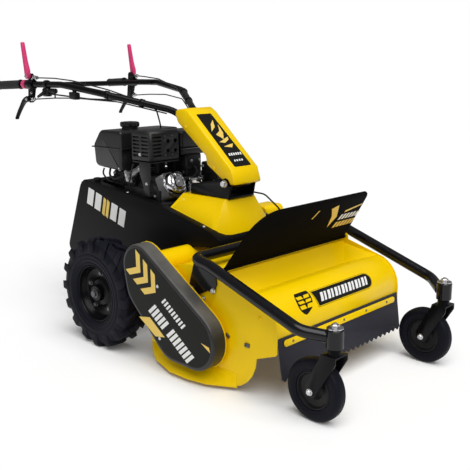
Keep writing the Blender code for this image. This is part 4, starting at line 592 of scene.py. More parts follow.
# Casters: solid rubber tyres on moulded hubs, in bent plate forks whose stems turn in the sockets
# of the wishbone. A zinc nut on a wide washer closes each stem, another each axle bolt.
STEM_X, STEM_Y = .3, -1.0
hub_plastic = finish("moulded_hub", (.008, .008, .009), .4, shine=.22, size=420.0,
                     depth=.0002, dust_and_sheen=.015)
tyre = [(-.0172, .058), (-.0198, .059), (-.0212, .063), (-.0202, .0655), (-.0216, .069), (-.0219, .076),
        (-.0213, .084), (-.019, .0895), (-.015, .0925), (-.0115, .0932), (-.0105, .0945), (-.006, .095)]
hub = [(-.0167, .0577), (-.018, .056), (-.018, .0535), (-.015, .052), (-.009, .049), (-.0065, .03),
       (-.012, .0235), (-.0215, .02), (-.022, .0185), (-.022, .0071)]
for side, sign in SIDES:
    heart, top, swivel = (sign * STEM_X, -.938, .095), (sign * STEM_X, STEM_Y, .2935), "caster_swivel_" + side
    piece("caster_tyre_%s_solid" % side, tyre_rubber, lathed(tyre + mirrored(tyre), heart, 96),
          node="caster_tyre_" + side)
    piece("caster_hub_%s_moulding" % side, hub_plastic, lathed(hub + mirrored(hub), heart, 64),
          node="caster_hub_" + side)
    broken_edges("caster_fork_" + side, black_enamel, .0007)
    piece("caster_nut_" + side, zinc, rod([(-.001, .0235), (.0015, .0235), (.0025, .0215)], top, 40, "Z"),
          rod([(.002, .0125), (.01, .0125), (.0115, .0105)], top, 6, "Z"),
          lathed([(.009, 0.0), (.009, .0065), (.0145, .006), (.015, 0.0)], top, 20, "Z"), body=swivel)
    for face, aim in (("inner", -sign), ("outer", sign)):
        spot = (heart[0] + aim * .0302, *heart[1:])
        fix("caster_axle_nut_%s_%s" % (side, face), hex_bolt, .0105, zinc, ((aim, 0, 0), spot), body=swivel)

# The wishbone: one bent steel tube from caster socket to caster socket, over the deck behind the
# hood. Two plate gussets bolt it to the deck's sides; welded, black powder coat.
GUSSET_X, BOLT_X = .3243, .3303


def bent(points, radius, steps):
    """A path of straight runs whose inner corners are bent to a radius, as a tube bender does."""
    path = [Vector(points[0])]
    for before, here, after in zip(points, points[1:], points[2:]):
        here = Vector(here)
        back, ahead = Vector(before) - here, Vector(after) - here
        reach = min(radius / math.tan(back.angle(ahead) / 2.0), .48 * back.length, .48 * ahead.length)
        start, end = here + back.normalized() * reach, here + ahead.normalized() * reach
        for n in range(steps + 1):
            path.append(start.lerp(here, n / steps).lerp(here.lerp(end, n / steps), n / steps))
    return path + [Vector(points[-1])]


def tube(points, radius, around=24, bend=0.0, steps=10):
    """A round bar closed at both ends, along a path or along straight runs bent to a radius."""
    path = bent(points, bend, steps) if bend else [Vector(point) for point in points]
    rings = []
    side = (path[1] - path[0]).orthogonal().normalized()
    for k, point in enumerate(path):
        ahead = (path[min(k + 1, len(path) - 1)] - path[max(k - 1, 0)]).normalized()
        side = (side - ahead * side.dot(ahead)).normalized()
        other = ahead.cross(side)
        turns = [math.tau * n / around for n in range(around)]
        rings.append([point + (side * math.cos(turn) + other * math.sin(turn)) * radius for turn in turns])
    return skinned(rings)


half_loop = [(.3, -.985, .264), (.356, -.92, .281), (.356, -.566, .4), (.356, -.496, .412)]
wishbone = [tube([(-x, y, z) for x, y, z in half_loop] + half_loop[::-1], .018, 32, bend=.065, steps=20)]
gusset_edge = rounded([(-.496 + back, .412 + rise) for back, rise in (
    (.026, -.01), (.04, -.054), (.063, -.128), (.016, -.1285), (-.033, -.104), (-.0555, -.11), (-.0705, -.078),
    (-.064, -.016))], .006)
saddle = [(-.558, .39), (-.502, .39), (-.502, .402), (-.558, .402)]
seat = [(-.51, .3703), (-.482, .3703), (-.482, .405), (-.51, .405)]
for _, sign in SIDES:
    wishbone += [rod([(.235, .0235), (.2365, .025), (.2885, .025), (.29, .0235)],
                     (sign * STEM_X, STEM_Y, 0.0), 48, "Z"),
                 pushed(gusset_edge, sign * GUSSET_X, sign * BOLT_X, edge=.0012),
                 pushed(saddle, sign * GUSSET_X, sign * .356, edge=.002),
                 pushed(seat, sign * .12 - .02, sign * .12 + .02, edge=.002)]
tube_enamel = finish("tube_powder_coat", (.005, .005, .0065), .2, coat=.18, shine=.25, size=500.0,
                     depth=.00006, clouding=.1, dust_and_sheen=.002)
piece("wishbone_tube", tube_enamel, *wishbone, node="wishbone_frame")
for side, sign in SIDES:
    fix("wishbone_bolts_" + side, hex_bolt, .0095, zinc,
        ((sign, 0, 0), (sign * BOLT_X, -.4494, .297), (sign * BOLT_X, -.552, .312)))

# The belt guard: a moulded shell with a rounded rim over both pulleys, screwed to a yellow steel
# backplate. A glossy inset sheet carries three cream chevrons, two angular patches and white bars.
CROSS_SHAFT = (-.262, .345)
GUARD_FACE = .397
PRINT = (-.39705, -.39755)


def hull(circles, steps=48):
    """The outline of a belt round pulleys: the convex hull of circles given as (u, v, radius)."""
    points = sorted(p for u, v, r in circles for p in arc((u, v), r, 0.0, 360.0 - 360.0 / steps, steps - 1))
    chains = []
    for ordered in (points, points[::-1]):
        chain = []
        for point in ordered:
            while len(chain) > 1 and ((chain[-1][0] - chain[-2][0]) * (point[1] - chain[-2][1])
                                      - (chain[-1][1] - chain[-2][1]) * (point[0] - chain[-2][0])) <= 1e-9:
                chain.pop()
            chain.append(point)
        chains += chain[:-1]
    return chains


def guard_line(inset):
    """The guard's outline drawn in by a distance."""
    circles = ((*CROSS_SHAFT, .08), (-.52, .158, .1), (-.293, .29, .1), (-.43, .16, .1))
    return hull([(y, z, radius - inset) for y, z, radius in circles])


# Its dust of .5 greys the shell's upward faces: a painted highlight on the rim's top, not dust.
guard_plastic = finish("guard_moulding", (.017, .017, .018), .34, coat=.1, shine=.3, size=380.0, depth=.0003,
                       clouding=.06, dust_and_sheen=.5)
charcoal_print = finish("charcoal_print", (.0095, .01, .0085), .42, shine=.12, size=900.0,
                        clouding=.12, dust_and_sheen=0.0)
rim = ((.3456, 0.0), (.388, 0.0), (.3915, .0006), (.3945, .0022), (.3962, .0045), (GUARD_FACE, .008))
piece("belt_guard_shell", guard_plastic,
      skinned([[(-x, y, z) for y, z in guard_line(inset)] for x, inset in rim]), node="belt_guard")
broken_edges("belt_backplate", yellow_enamel, .0006)
piece("belt_guard_sheet", charcoal_print, pushed(guard_line(.0125), -.3968, -.39725))
patches = [[(-.262, .177), (-.318, .188), (-.392, .136), (-.345, .128)],
           [(-.564, .162), (-.6, .156), (-.604, .14)]]
down = Vector((-.813, -.582)).normalized()
across = Vector((down.y, -down.x))
for reach in (.02, .066, .112):
    apex = Vector(CROSS_SHAFT) + down * reach
    patches.append([tuple(apex + down * back + across * out) for back, out in (
        (0.0, 0.0), (-.036, .048), (-.062, .048), (-.026, 0.0), (-.062, -.048), (-.036, -.048))])
piece("belt_guard_shapes", cream_print, *[pushed(outline, *PRINT) for outline in patches])
bars = []
for start, ranks, pitch, wide, tall in (((-.312, .209), (*range(5), *range(6, 13)), .018, .0125, .046),
                                        ((-.38, .254), range(9), .0138, .008, .025)):
    lift = (across + down * .25).normalized() * tall
    for rank in ranks:
        foot = Vector(start) + down * pitch * rank
        corners = [foot, foot + down * wide, foot + down * wide + lift, foot + lift]
        bars.append(pushed([tuple(corner) for corner in corners], *PRINT))
piece("belt_guard_bars", white_print, *bars)
fix("guard_screws", hex_bolt, .0078, zinc, (LEFT, (-.3941, -.3645, .3035), (-.3941, -.3675, .1265)))

# The plate on the hood: a printed film, stuck on. It is a black capsule in a thin black and yellow
# edge with a row of white slanted bars, and beside it a small black shield with six yellow marks.
def on_hood(rows, low, high):
    """A film on the rounded nose, from (degrees above its front, left end, right end) rows."""
    rings = []
    for degrees, start, end in rows:
        turn = math.radians(degrees)
        forward, upward = math.cos(turn), math.sin(turn)
        rings.append([(x, HOOD_FRONT + NOSE - (NOSE + lift) * forward, NOSE_Z + (NOSE + lift) * upward)
                      for x, lift in ((start, low), (end, low), (end, high), (start, high))])
    return skinned(rings)


def capsule(margin):
    """Rows of a capsule with a straight left end, grown by a margin."""
    rows = []
    for k in range(21):
        share = -1.0 + .1 * k
        inset = (.025 + margin) * (1.0 - math.sqrt(max(0.0, 1.0 - share * share)))
        rows.append((32.5 + (14.3 + math.degrees(margin / NOSE)) * share, -.118 - .006 * share - margin,
                     .18 + margin - inset))
    return rows


for name, material, margin, low, high in (("hood_plate_edge", charcoal_print, .0035, .0001, .0004),
                                          ("hood_plate_line", yellow_enamel, .0022, .0002, .0006),
                                          ("hood_plate", charcoal_print, 0.0, .0003, .0008)):
    piece(name, material, on_hood(capsule(margin), low, high))
shield = [(12.0, -.181, -.175), (15.0, -.19, -.163), (20.0, -.199, -.148), (27.0, -.205, -.138),
          (36.0, -.206, -.134), (44.0, -.204, -.133), (50.0, -.2, -.136), (53.0, -.196, -.14)]
piece("hood_shield", charcoal_print, on_hood(shield, .0001, .0005))
marks = []
for low, tall in ((22.0, 7.0), (32.0, 5.0), (40.0, 6.0)):
    for start, end, fall in ((-.196, -.171, -.00125), (-.168, -.143, .00125)):
        rows = [(low + tall * k / 4.0, start + fall * k, end + fall * k) for k in range(5)]
        marks.append(on_hood(rows, .0004, .0009))
piece("hood_shield_marks", yellow_enamel, *marks)
bars = []
for k in range(7):
    for start, wide in ((-.098 + .037 * k, .0132), (-.079 + .037 * k, .0098)):
        rows = [(24.5 + 4.0 * n, start + .0022 * n, start + wide + .0022 * n) for n in range(5)]
        bars.append(on_hood(rows, .0006, .0011))
piece("hood_plate_bars", white_print, *bars)

# The body tub: rotation-moulded black plastic, open above round the engine and below over the
# gearbox. Two screws a side hold it, and a knob stands at each rear corner. Four white slanted bars
# and two narrow yellow ones between them lie on each side.
TUB_PRINT = (.1699, .1704)
tub_plastic = finish("moulded_tub", (.0035, .0035, .004), .44, shine=.07, size=300.0, depth=.0003,
                     clouding=.12, dust_and_sheen=.006)
broken_edges("tub_cover", tub_plastic, .0022, 3)
knob = [(0.0, .013), (.006, .013), (.01, .016), (.016, .015), (.018, .01)]
for side, sign in SIDES:
    for kind, ranks, wide, material in (("white", (0, 1, 3, 4), .038, white_print),
                                        ("yellow", (2.0, 2.44), .015, cream_print)):
        blocks = []
        for rank in ranks:
            y, top, low, lean = .342 - .05 * rank, .526 - .0145 * rank, .46 - .0145 * rank, -.018
            corners = [(y, low), (y - wide, low - .01), (y - wide + lean, top - .01), (y + lean, top)]
            blocks.append(pushed(corners, *[sign * x for x in TUB_PRINT]))
        piece("tub_bars_%s_%s" % (kind, side), material, *blocks)
    fix("tub_screws_" + side, round_screw, .0065, zinc,
        ((0, -.24, .97), (sign * .155, -.33, .4568)), ((0, -.11, .99), (sign * .155, .09, .529)))
    piece("tub_knob_" + side, hub_plastic, rod(knob, (sign * .15, .29, .549), 24, "Z"))

# The front cowl over the foot of the column and the cover over the far end of the cross shaft:
# folded sheet steel in the deck's yellow. The cross shaft's tube matches them; a screw holds each
# side of the cowl.
broken_edges("front_cowl", yellow_enamel, .0022, 3)
broken_edges("shaft_cover", yellow_enamel, .0006)
pipe = [(-.342, .011), (-.342, .0385), (-.3405, .04), (-.0453, .04), (-.0453, .011)]
piece("cross_shaft_sleeve", yellow_enamel, lathed(pipe, (0.0, *CROSS_SHAFT), 48), node="cross_shaft_tube")
fix("cowl_screws", round_screw, .0055, zinc,
    *[((sign * .75, -.35, .55), (sign * .122, -.352, .456)) for _, sign in SIDES])

# The column cover: a yellow moulding over the steering column. A black sheet let into its raked
# face bears four angular cream marks and two rows of white bars; two screws hold each side.
COLUMN_HINGE = (-.353, .598)
FACE_FOOT, FACE_HEAD = Vector((-.379, .648)), Vector((-.17, .836))
rake = (FACE_HEAD - FACE_FOOT).normalized()
off_face = Vector((-rake.y, rake.x))
broken_edges("column_cover", yellow_enamel)
broken_edges("column_post", black_enamel)


def on_face(outline, low=.0003, high=.0008):
    """A thin sheet on the raked face, drawn in (x, distance up the face)."""
    rings = []
    for lift in (low, high):
        spots = [FACE_FOOT + rake * up + off_face * lift for _, up in outline]
        rings.append([(x, spot.x, spot.y) for (x, _), spot in zip(outline, spots)])
    return skinned(rings)


panel = rounded([(-.043, .01), (.041, .01), (.03, .268), (-.043, .268)], .006, 6)
piece("column_panel", charcoal_print, on_face(panel, -.0002, .0004), body="handlebar")
marks = [[(-.03, .18), (0.0, .2), (.016, .236), (-.008, .216)],
         [(0.0, .14), (.02, .17), (.024, .212), (.008, .18), (-.02, .164)],
         [(-.03, .128), (-.006, .122), (.022, .136), (.026, .15), (-.004, .138)],
         [(-.024, .106), (.012, .098), (.028, .116), (.004, .112)]]
piece("column_shapes", cream_print, *map(on_face, marks), body="handlebar")
bars = slanted(6, -.03, .011, .007, .002, .062, .073) + slanted(4, -.026, .012, .007, .002, .034, .042)
piece("column_bars", white_print, *map(on_face, bars), body="handlebar")
for side, sign in SIDES:
    fix("cover_screws_" + side, round_screw, .006, yellow_enamel,
        ((sign, 0, 0), (sign * .07, -.153, .783), (sign * .07, -.295, .645)), body="handlebar")
    fix("column_bolt_" + side, hex_bolt, .0135, zinc, ((sign, 0, 0), (sign * .0785, *COLUMN_HINGE)))

# The handlebar: two bent steel tubes welded into the column's head and tied by a cross bar, black.
# Ribbed rubber grips are pushed over their ends; each bar carries a clamp with two levers.
BAR_REAR = ((.24, .37, .93), (.262, .62, .93), (.281, .762, .925))


def bar_spot(sign, y):
    """The point of the bar's middle line at a distance y, on its two rearmost runs."""
    run = int(y > BAR_REAR[1][1])
    start, end = Vector(BAR_REAR[run]), Vector(BAR_REAR[run + 1])
    at = start.lerp(end, (y - start.y) / (end.y - start.y))
    return Vector((sign * at.x, at.y, at.z))


def along(shape, start, ahead):
    """Turns a shape drawn up the Z axis so that it runs ahead from a point."""
    turn = Vector(ahead).to_track_quat("Z", "Y").to_matrix()
    bmesh.ops.rotate(shape, verts=shape.verts, matrix=turn)
    bmesh.ops.translate(shape, verts=shape.verts, vec=start)
    return shape


tubes = [pushed(hull([(*COLUMN_HINGE, .02), (-.12, .796, .019)]), -.04, .04, edge=.002),
         lathed([(-.057, .0086), (-.057, .018), (.057, .018), (.057, .0086)], (0.0, *COLUMN_HINGE), 32)]
for _, sign in SIDES:
    runs = [(.036, -.13, .8), (.05, -.065, .838), (.205, .165, .9), *BAR_REAR]
    tubes.append(tube([(sign * x, y, z) for x, y, z in runs], .0125, bend=.12, steps=14))
    for spot, ahead in (((.1156, .0324, .8642), (.155, .23, .062)), ((.1909, .1441, .8944), (.1, .24, .055))):
        collar = rod([(-.009, .014), (-.007, .0152), (.007, .0152), (.009, .014)], steps=24, axis="Z")
        tubes.append(along(collar, (sign * spot[0], *spot[1:]), (sign * ahead[0], *ahead[1:])))
tubes.append(tube([bar_spot(-1.0, .4), bar_spot(1.0, .4)], .01))
piece("handlebar_tubes", black_enamel, *tubes, node="handlebar_frame")

grip_rubber = finish("grip_rubber", (.02, .02, .021), .66, shine=.3, size=240.0, depth=.0004)
pink_plastic = finish("pink_plastic", (.7, .048, .185), .34, shine=.35, size=420.0,
                      depth=.00005, dust_and_sheen=0.0)
for side, sign in SIDES:
    start, end = bar_spot(sign, .626), bar_spot(sign, BAR_REAR[2][1])
    long = (end - start).length + .006
    sleeve = [(0.0, .0133), (0.0, .0188), (.002, .0195), (.005, .0195), (.007, .017)]
    for at in [.011 + .0075 * rib for rib in range(15)]:
        sleeve += [(at, .0165), (at + .0018, .0174), (at + .004, .0174), (at + .0058, .0165)]
    sleeve += [(long - back, radius) for back, radius in (
        (.006, .0168), (.004, .0182), (.001, .018), (0.0, .0165), (0.0, 0.0), (.005, 0.0), (.005, .0133))]
    piece("grip_%s_sleeve" % side, grip_rubber, along(lathed(sleeve, steps=32, axis="Z"), start, end - start),
          node="grip_" + side)

# Lever clamps: die-cast, black, with zinc screws and adjusters. A glossy pink plastic brake lever
# stands over each bar and a black enamelled steel clutch lever hangs below it. The left bar also
# carries a pink collar, the moulded throttle box and, clamped below it, joints of the cables.
LEVER_Y = .56


def about(point, corners, radius=0.0):
    """An outline round a point of the mower, its corners given from there."""
    return rounded([(point.y + u, point.z + v) for u, v in corners], radius)


for side, sign in SIDES:
    spot = bar_spot(sign, LEVER_Y)
    x, high, low = spot.x, spot + Vector((0.0, .006, .032)), spot + Vector((0.0, .014, -.058))
    ring = lathed([(-.02, .0133), (-.02, .018), (-.018, .0195), (.018, .0195), (.02, .018), (.02, .0133)],
                  steps=32, axis="Z")
    cheek = hull([(high.y, high.z, .011), (low.y, low.z, .015), (spot.y, spot.z, .02)], 24)
    shoulder = about(high, ((-.03, -.012), (-.004, -.014), (-.002, .004), (-.026, .002)), .004)
    pins = [tube([pin, pin + Vector((sign * .019, 0.0, 0.0))], .0055, 16) for pin in (high, low)]
    piece("lever_clamp_" + side, black_enamel, along(ring, spot, bar_spot(sign, .57) - spot),
          pushed(cheek, x - sign * .012, x + sign * .002, edge=.0012),
          pushed(shoulder, x - sign * .013, x + sign * .002, edge=.0015), *pins, node="lever_perch_" + side)
    fix("lever_screws_" + side, hex_bolt, .0062, zinc,
        ((sign, 0, 0), (x + sign * .019, high.y, high.z), (x + sign * .019, low.y, low.z),
         (x + sign * .002, spot.y, low.z + .024)), (UP, (x, spot.y - .01, spot.z + .0195)), body="handlebar")
    adjuster = [(0.0, .0072), (.008, .0072), (.009, .005), (.014, .005), (.015, .0075), (.021, .0075),
                (.022, .0036), (.03, .0032)]
    runs = ((high + Vector((0.0, -.026, -.004)), (-sign * .2, -1.0, -.1)),
            (low + Vector((0.0, -.01, -.002)), (0.0, -1.0, .08)))
    piece("cable_adjusters_" + side, zinc,
          *[along(rod(adjuster, steps=18, axis="Z"), *run) for run in runs], body="handlebar")
    near, far = x + sign * .0025, x + sign * .0175
    blade = [(-.01, -.004), (-.006, -.0105), (.006, -.0115), (.022, -.01), (.06, -.0085), (.105, -.0066),
             (.13, -.0055), (.1345, -.0035), (.1358, 0.0), (.1345, .0035), (.13, .0055), (.105, .0062),
             (.06, .008), (.034, .012), (.02, .015), (.008, .013), (-.004, .009), (-.01, .004)]
    raised = [Matrix.Rotation(math.radians(80.0), 2) @ Vector(point) for point in blade]
    piece("brake_lever_%s_blade" % side, pink_plastic, pushed(about(high, raised), near, far, edge=.0022),
          node="brake_lever_" + side)
    elbow = about(low, ((.004, .012), (-.01, .008), (-.012, -.006), (.004, -.012), (.022, -.014), (.04, -.026),
                        (.066, -.05), (.0905, -.076), (.0955, -.0855), (.101, -.085), (.103, -.079),
                        (.08, -.05), (.056, -.024), (.038, -.004), (.022, .006)))
    piece("clutch_lever_%s_blade" % side, black_enamel, pushed(elbow, near, far, edge=.002),
          node="clutch_lever_" + side)
collar = lathed([(0.0, .0126), (0.0, .0172), (.001, .018), (.017, .018), (.018, .0172), (.018, .0126)],
                steps=32, axis="Z")
piece("grip_collar_left", pink_plastic,
      along(collar, bar_spot(-1.0, .59), bar_spot(-1.0, .61) - bar_spot(-1.0, .6)), body="handlebar")
broken_edges("throttle_box", hub_plastic, .0008)
broken_edges("throttle_lever", hub_plastic, .001)
barrel = rod([(0.0, .0085), (.0015, .01), (.034, .01), (.036, .008)], steps=28, axis="Z")
hanger, joint = bar_spot(-1.0, .412), Vector((-.228, .3, .92))
block = about(joint, ((-.02, -.046), (.02, -.043), (.022, -.016), (-.018, -.019)), .005)
tab = about(joint, ((-.007, -.02), (.007, -.018), (.007, -.006), (-.007, -.008)))
piece("cable_joints_left", hub_plastic,
      along(barrel, bar_spot(-1.0, .44) + Vector((0, 0, -.024)), (.088, -1.0, -.02)),
      tube([hanger + Vector((0, 0, -.03)), hanger + Vector((0, 0, -.052))], .003, 12),
      pushed(block, joint.x - .012, joint.x + .012, edge=.0015), pushed(tab, joint.x - .005, joint.x + .005),
      body="handlebar")

# The engine's castings: crankcase, finned cylinder and round rocker cover, die-cast aluminium; the
# crankcase has darkened. The fins are thin plates on one core, the cover is turned and polished.
LEAN = math.radians(25.0)
LEAN_AHEAD = Vector((0.0, -math.cos(LEAN), math.sin(LEAN)))
LEAN_UP = Vector((0.0, math.sin(LEAN), math.cos(LEAN)))
CRANK = Vector((-.04, .045, .515))
DOME = Vector((-.05, .045, .515)) + LEAN_AHEAD * .1123
dark_cast = finish("darkened_casting", (.03, .03, .033), .45, metallic=.6, size=520.0,
                   depth=.0005, clouding=.25, dust_and_sheen=.03)
cast_alloy = finish("cast_alloy", (.36, .36, .37), .36, metallic=1.0, size=620.0, depth=.0004,
                    clouding=.2)
polished_alloy = finish("polished_alloy", (.74, .74, .76), .16, metallic=1.0, size=900.0,
                        depth=.00006, clouding=.1)


def slab(foot, first, last, half, corner):
    """A slab of the cylinder with rounded corners, between two distances along its leaning axis."""
    outline = rounded([(-half, -half), (half, -half), (half, half), (-half, half)], corner, 5)
    rings = []
    for far, inset in ((first, .0006), (first + .0006, 0.0), (last - .0006, 0.0), (last, .0006)):
        shrink = 1.0 - inset / half
        rings.append([foot + LEAN_AHEAD * far + Vector((u * shrink, 0, 0)) + LEAN_UP * v * shrink
                      for u, v in outline])
    return skinned(rings)


def on_dome(degrees, out, ahead):
    """A point of the rocker cover, by its angle round the axis, its distance from it and along it."""
    turn = math.radians(degrees)
    return DOME + (Vector((math.cos(turn), 0, 0)) + LEAN_UP * math.sin(turn)) * out + LEAN_AHEAD * ahead


broken_edges("crankcase", dark_cast, .0018)
piece("cylinder_barrel", cast_alloy, slab(CRANK, .062, .112, .0385, .01), node="cylinder")
fin = template("fin", slab(Vector(), .0645, .0667, .049, .012))
repeated("cylinder_fins", fin, 7, CRANK, cast_alloy, row=LEAN_AHEAD * .007)
dome = rod([(0.0, .048), (.0035, .048), (.004, .0465), (.006, .0455), (.014, .045), (.02, .043), (.0245, .0385),
            (.0262, .034), (.0245, .0325), (.0245, .03), (.0275, .029), (.031, .024), (.0325, .018),
            (.0325, .012), (.0345, .011)], axis="Z")
ribs = [tube([on_dome(turn, .014, .031), on_dome(turn, .036, .024)], .0022, 10)
        for turn in [18.0 + 36.0 * k for k in range(10)]]
piece("rocker_cover_dome", polished_alloy, along(dome, DOME, LEAN_AHEAD), *ribs, node="rocker_cover")
fix("rocker_cover_bolts", hex_bolt, .005, zinc,
    (LEAN_AHEAD, on_dome(0.0, 0.0, .0345), *[on_dome(45.0 + 90.0 * k, .0275, .0285) for k in range(4)]),
    slot="bright_metal")
hoop = [(-.104, -.06, .578), (-.1, -.104, .566), (-.05, -.112, .562), (.01, -.096, .56), (.04, -.06, .566)]
piece("rocker_cover_wire", black_enamel, tube(hoop, .0011, 8, bend=.03))
bead = [on_dome(150.0 + 5.0 * k, .049, .006) for k in range(37)]
piece("rocker_cover_bead", polished_alloy, tube(bead, .0014, 10))

# Exhaust: the muffler's drum and leg, dulled by heat, and the black sheet guard with punched slots
# that wraps it. Two screws on its left and four rivets in front hold it, on a folded black bracket.
hot_steel = finish("heat_dulled_steel", (.016, .015, .015), .55, metallic=.5, size=300.0, depth=.0004,
                   clouding=.35)
satin_black = finish("satin_black_sheet", (.0105, .0105, .0115), .42, shine=.35, size=480.0,
                     depth=.0002, clouding=.08, dust_and_sheen=.015)
broken_edges("muffler", hot_steel, .0008)
broken_edges("muffler_guard", satin_black, .0005)
fix("muffler_guard_screws", hex_bolt, .0062, zinc, (LEFT, (-.15, .013, .679), (-.15, -.021, .5725)))
fix("muffler_guard_rivets", round_screw, .0032, dark_screw_steel,
    (FRONT, *[(x, -.047, z) for x in (-.078, -.044) for z in (.674, .744)]))
bracket = [(.02, .652), (-.044, .652), (-.044, .6), (-.034, .56), (-.036, .528), (-.006, .528), (.002, .566),
           (.02, .606)]
piece("muffler_bracket", satin_black, pushed(bracket, -.15, -.148, edge=.0006),
      pushed([(-.044, .648), (.06, .648), (.06, .652), (-.044, .652)], -.149, -.01),
      pushed([(-.034, .526), (-.006, .526), (-.006, .532), (-.034, .532)], -.149, -.1))

# The air filter's box over the carburettor: a moulded black base and lid with a seam between.
# Beside it stands the round fan cover of black sheet, with the recoil starter's handle.
FAN = (.045, .515)


def soft_box(low, high, radius, steps=4):
    """A block between two corners, all its edges rounded."""
    bm = bmesh.new()
    bmesh.ops.create_cube(bm, size=1.0)
    for vert in bm.verts:
        vert.co = Vector([a + (b - a) * (c + .5) for a, b, c in zip(low, high, vert.co)])
    bmesh.ops.bevel(bm, geom=bm.edges[:], offset=radius, segments=steps, profile=.5, affect="EDGES")
    return bm


box_plastic = finish("filter_moulding", (.0115, .0115, .0125), .38, shine=.35, size=360.0, depth=.0003,
                     clouding=.08)
piece("air_filter_lid", box_plastic, soft_box((.003, -.045, .69), (.14, .09, .757), .012, 5),
      soft_box((.006, -.042, .665), (.137, .087, .694), .007), node="air_filter_box")
piece("air_filter_seam", cast_alloy, soft_box((.002, -.046, .6885), (.141, .091, .6905), .0009, 2),
      slot="black_plastic")
broken_edges("fan_cover", satin_black)
piece("fan_cover_ribs", satin_black, *[
    tube([on_ring((.1262, *FAN), .066, turn), on_ring((.1262, *FAN), .075, turn + .16)], .0016, 8)
    for turn in [math.tau * k / 14 for k in range(14)]])
fix("fan_cover_screws", hex_bolt, .0052, zinc,
    (RIGHT, *[on_ring((.1255, *FAN), .0795, math.radians(30.0 + 90.0 * k)) for k in range(4)]))
broken_edges("starter_handle", hub_plastic, .0008)

# The fuel tank: two pressed and enamelled halves crimped along a lip, on two straps over the
# engine. Its filler neck is cast and carries a lobed plastic cap.
NECK = (-.06, .184, 0.0)
tank_enamel = finish("tank_enamel", (.0125, .0125, .0135), .3, coat=.12, size=480.0, depth=.00012,
                     clouding=.1, dust_and_sheen=.015)
tank_side = rounded([(.134, .604, .008), (.13, .757, .014), (.262, .757, .03), (.308, .7, .02),
                     (.3, .614, .025)])
turns = [math.radians(15.0 * k) for k in range(7)]
swell = [(-.15 + .012 * (1.0 - math.cos(turn)), .012 * (1.0 - math.sin(turn))) for turn in turns]
swell += mirrored(swell)
lip = rounded([(-.158, .123, .018), (.158, .123, .018), (.158, .318, .016), (-.158, .318, .016)])
strap = [(.14, .6), (.29, .606), (.29, .609), (.14, .6045)]
piece("fuel_tank_shell", tank_enamel,
      skinned([[(x, y, z) for y, z in beside(tank_side, -inset, True)] for x, inset in swell]),
      pushed(lip, .6882, .6918, "Z", edge=.001),
      *[pushed(strap, x - .009, x + .009, edge=.0006) for x in (-.105, .105)], node="fuel_tank")
neck = rod([(.755, .03), (.7585, .0295), (.76, .0265), (.766, .0255)], NECK, 48, "Z")
piece("fuel_tank_neck", cast_alloy, neck, slot="black_paint")
lobes = []
for z, scale in ((.7662, .86), (.769, .97), (.772, 1.0), (.7815, 1.0), (.785, .96), (.7868, .86)):
    ring = []
    for turn in [math.tau * n / 96 for n in range(96)]:
        out = scale * (.0352 + .0028 * math.cos(8.0 * turn))
        ring.append((NECK[0] + out * math.cos(turn), NECK[1] + out * math.sin(turn), z))
    lobes.append(ring)
piece("fuel_cap_lobes", box_plastic, skinned(lobes), rod([(.786, .022), (.7872, .0205)], NECK, 40, "Z"),
      rod([(.7575, .03), (.759, .0315), (.767, .0315)], NECK, 48, "Z"), node="fuel_cap")

# Round the carburettor, under the tank: the governor's cast body, levers, rod and spring, hoses and
# the spark plug's rubber boot, bright fittings, black moulded covers and the engine's cast foot.
spring = [(-.136 + .0034 * math.cos(.9 * k), .12 - .0009 * k, .574 + .0034 * math.sin(.9 * k) + .0004 * k)
          for k in range(70)]
arm = rounded([(.1, .566), (.116, .566), (.13, .606), (.114, .612)], .004)
lever = rounded([(.03, .622), (.052, .628), (.122, .584), (.112, .574)], .004)
piece("governor_linkage", cast_alloy, soft_box((-.128, .098, .574), (-.094, .132, .606), .004, 2),
      rod([(-.146, .01), (-.14, .012), (-.128, .012)], (0.0, .147, .615), 24),
      rod([(.56, .009), (.566, .011), (.576, .011)], (-.116, .114, 0.0), 24, "Z"),
      pushed(arm, -.14, -.138, edge=.0005), pushed(lever, -.13, -.128, edge=.0005),
      tube([(-.133, .128, .588), (-.133, .036, .636)], .0016, 8), tube(spring, .0007, 6), slot="bright_metal")
fix("governor_screws", hex_bolt, .0058, zinc,
    (LEFT, (-.146, .147, .615), (-.14, .114, .592), (-.13, .046, .621), (-.14, .106, .574)))
hoses = ((.0042, 14, (-.12, .24, .606), (-.13, .236, .58), (-.14, .19, .566), (-.126, .14, .588)),
         (.0034, 12, (-.134, .262, .606), (-.14, .266, .585), (-.134, .24, .558), (-.11, .17, .545)),
         (.0034, 12, (.03, -.06, .575), (.06, -.075, .6), (.076, -.03, .625), (.082, .02, .59)),
         (.003, 12, (-.146, .06, .64), (-.149, .076, .6), (-.145, .09, .56), (-.13, .1, .52), (-.09, .11, .48)))
piece("engine_hoses", grip_rubber,
      *[tube(points, radius, around, bend=.03) for radius, around, *points in hoses])
boot = rod([(0.0, .0085), (.012, .0095), (.016, .0075), (.034, .0068), (.036, .0045), (.04, .004)],
           steps=24, axis="Z")
piece("spark_plug_boot", grip_rubber, along(boot, (.004, -.05, .574), (.75, -.35, .15)))
piece("engine_fittings", polished_alloy, soft_box((.018, -.078, .552), (.074, -.058, .582), .004, 2),
      rod([(-.092, .0085), (-.088, .0095), (-.06, .0095)], (.074, 0.0, .578), 24, "Y"),
      tube([(.01, -.084, .577), (.04, -.086, .578), (.074, -.08, .575)], .0042, 14, bend=.02, steps=6),
      rod([(.524, .0075), (.548, .0075), (.552, .0055), (.56, .0055)], (.012, -.082, 0.0), 20, "Z"))
covers = [((-.112, .104, .5), (.088, .236, .6), .01, 3), ((.094, -.14, .548), (.138, -.052, .636), .008, 3),
          ((.09, -.144, .596), (.142, -.048, .6), .0015, 2), ((.04, -.07, .54), (.138, -.03, .55), .003, 2),
          ((.034, -.038, .572), (.116, .072, .67), .012), ((.03, -.042, .612), (.12, .076, .617), .002, 2),
          *[((-.114, .112 + .014 * k, .508), (-.108, .119 + .014 * k, .592), .001, 1) for k in range(9)]]
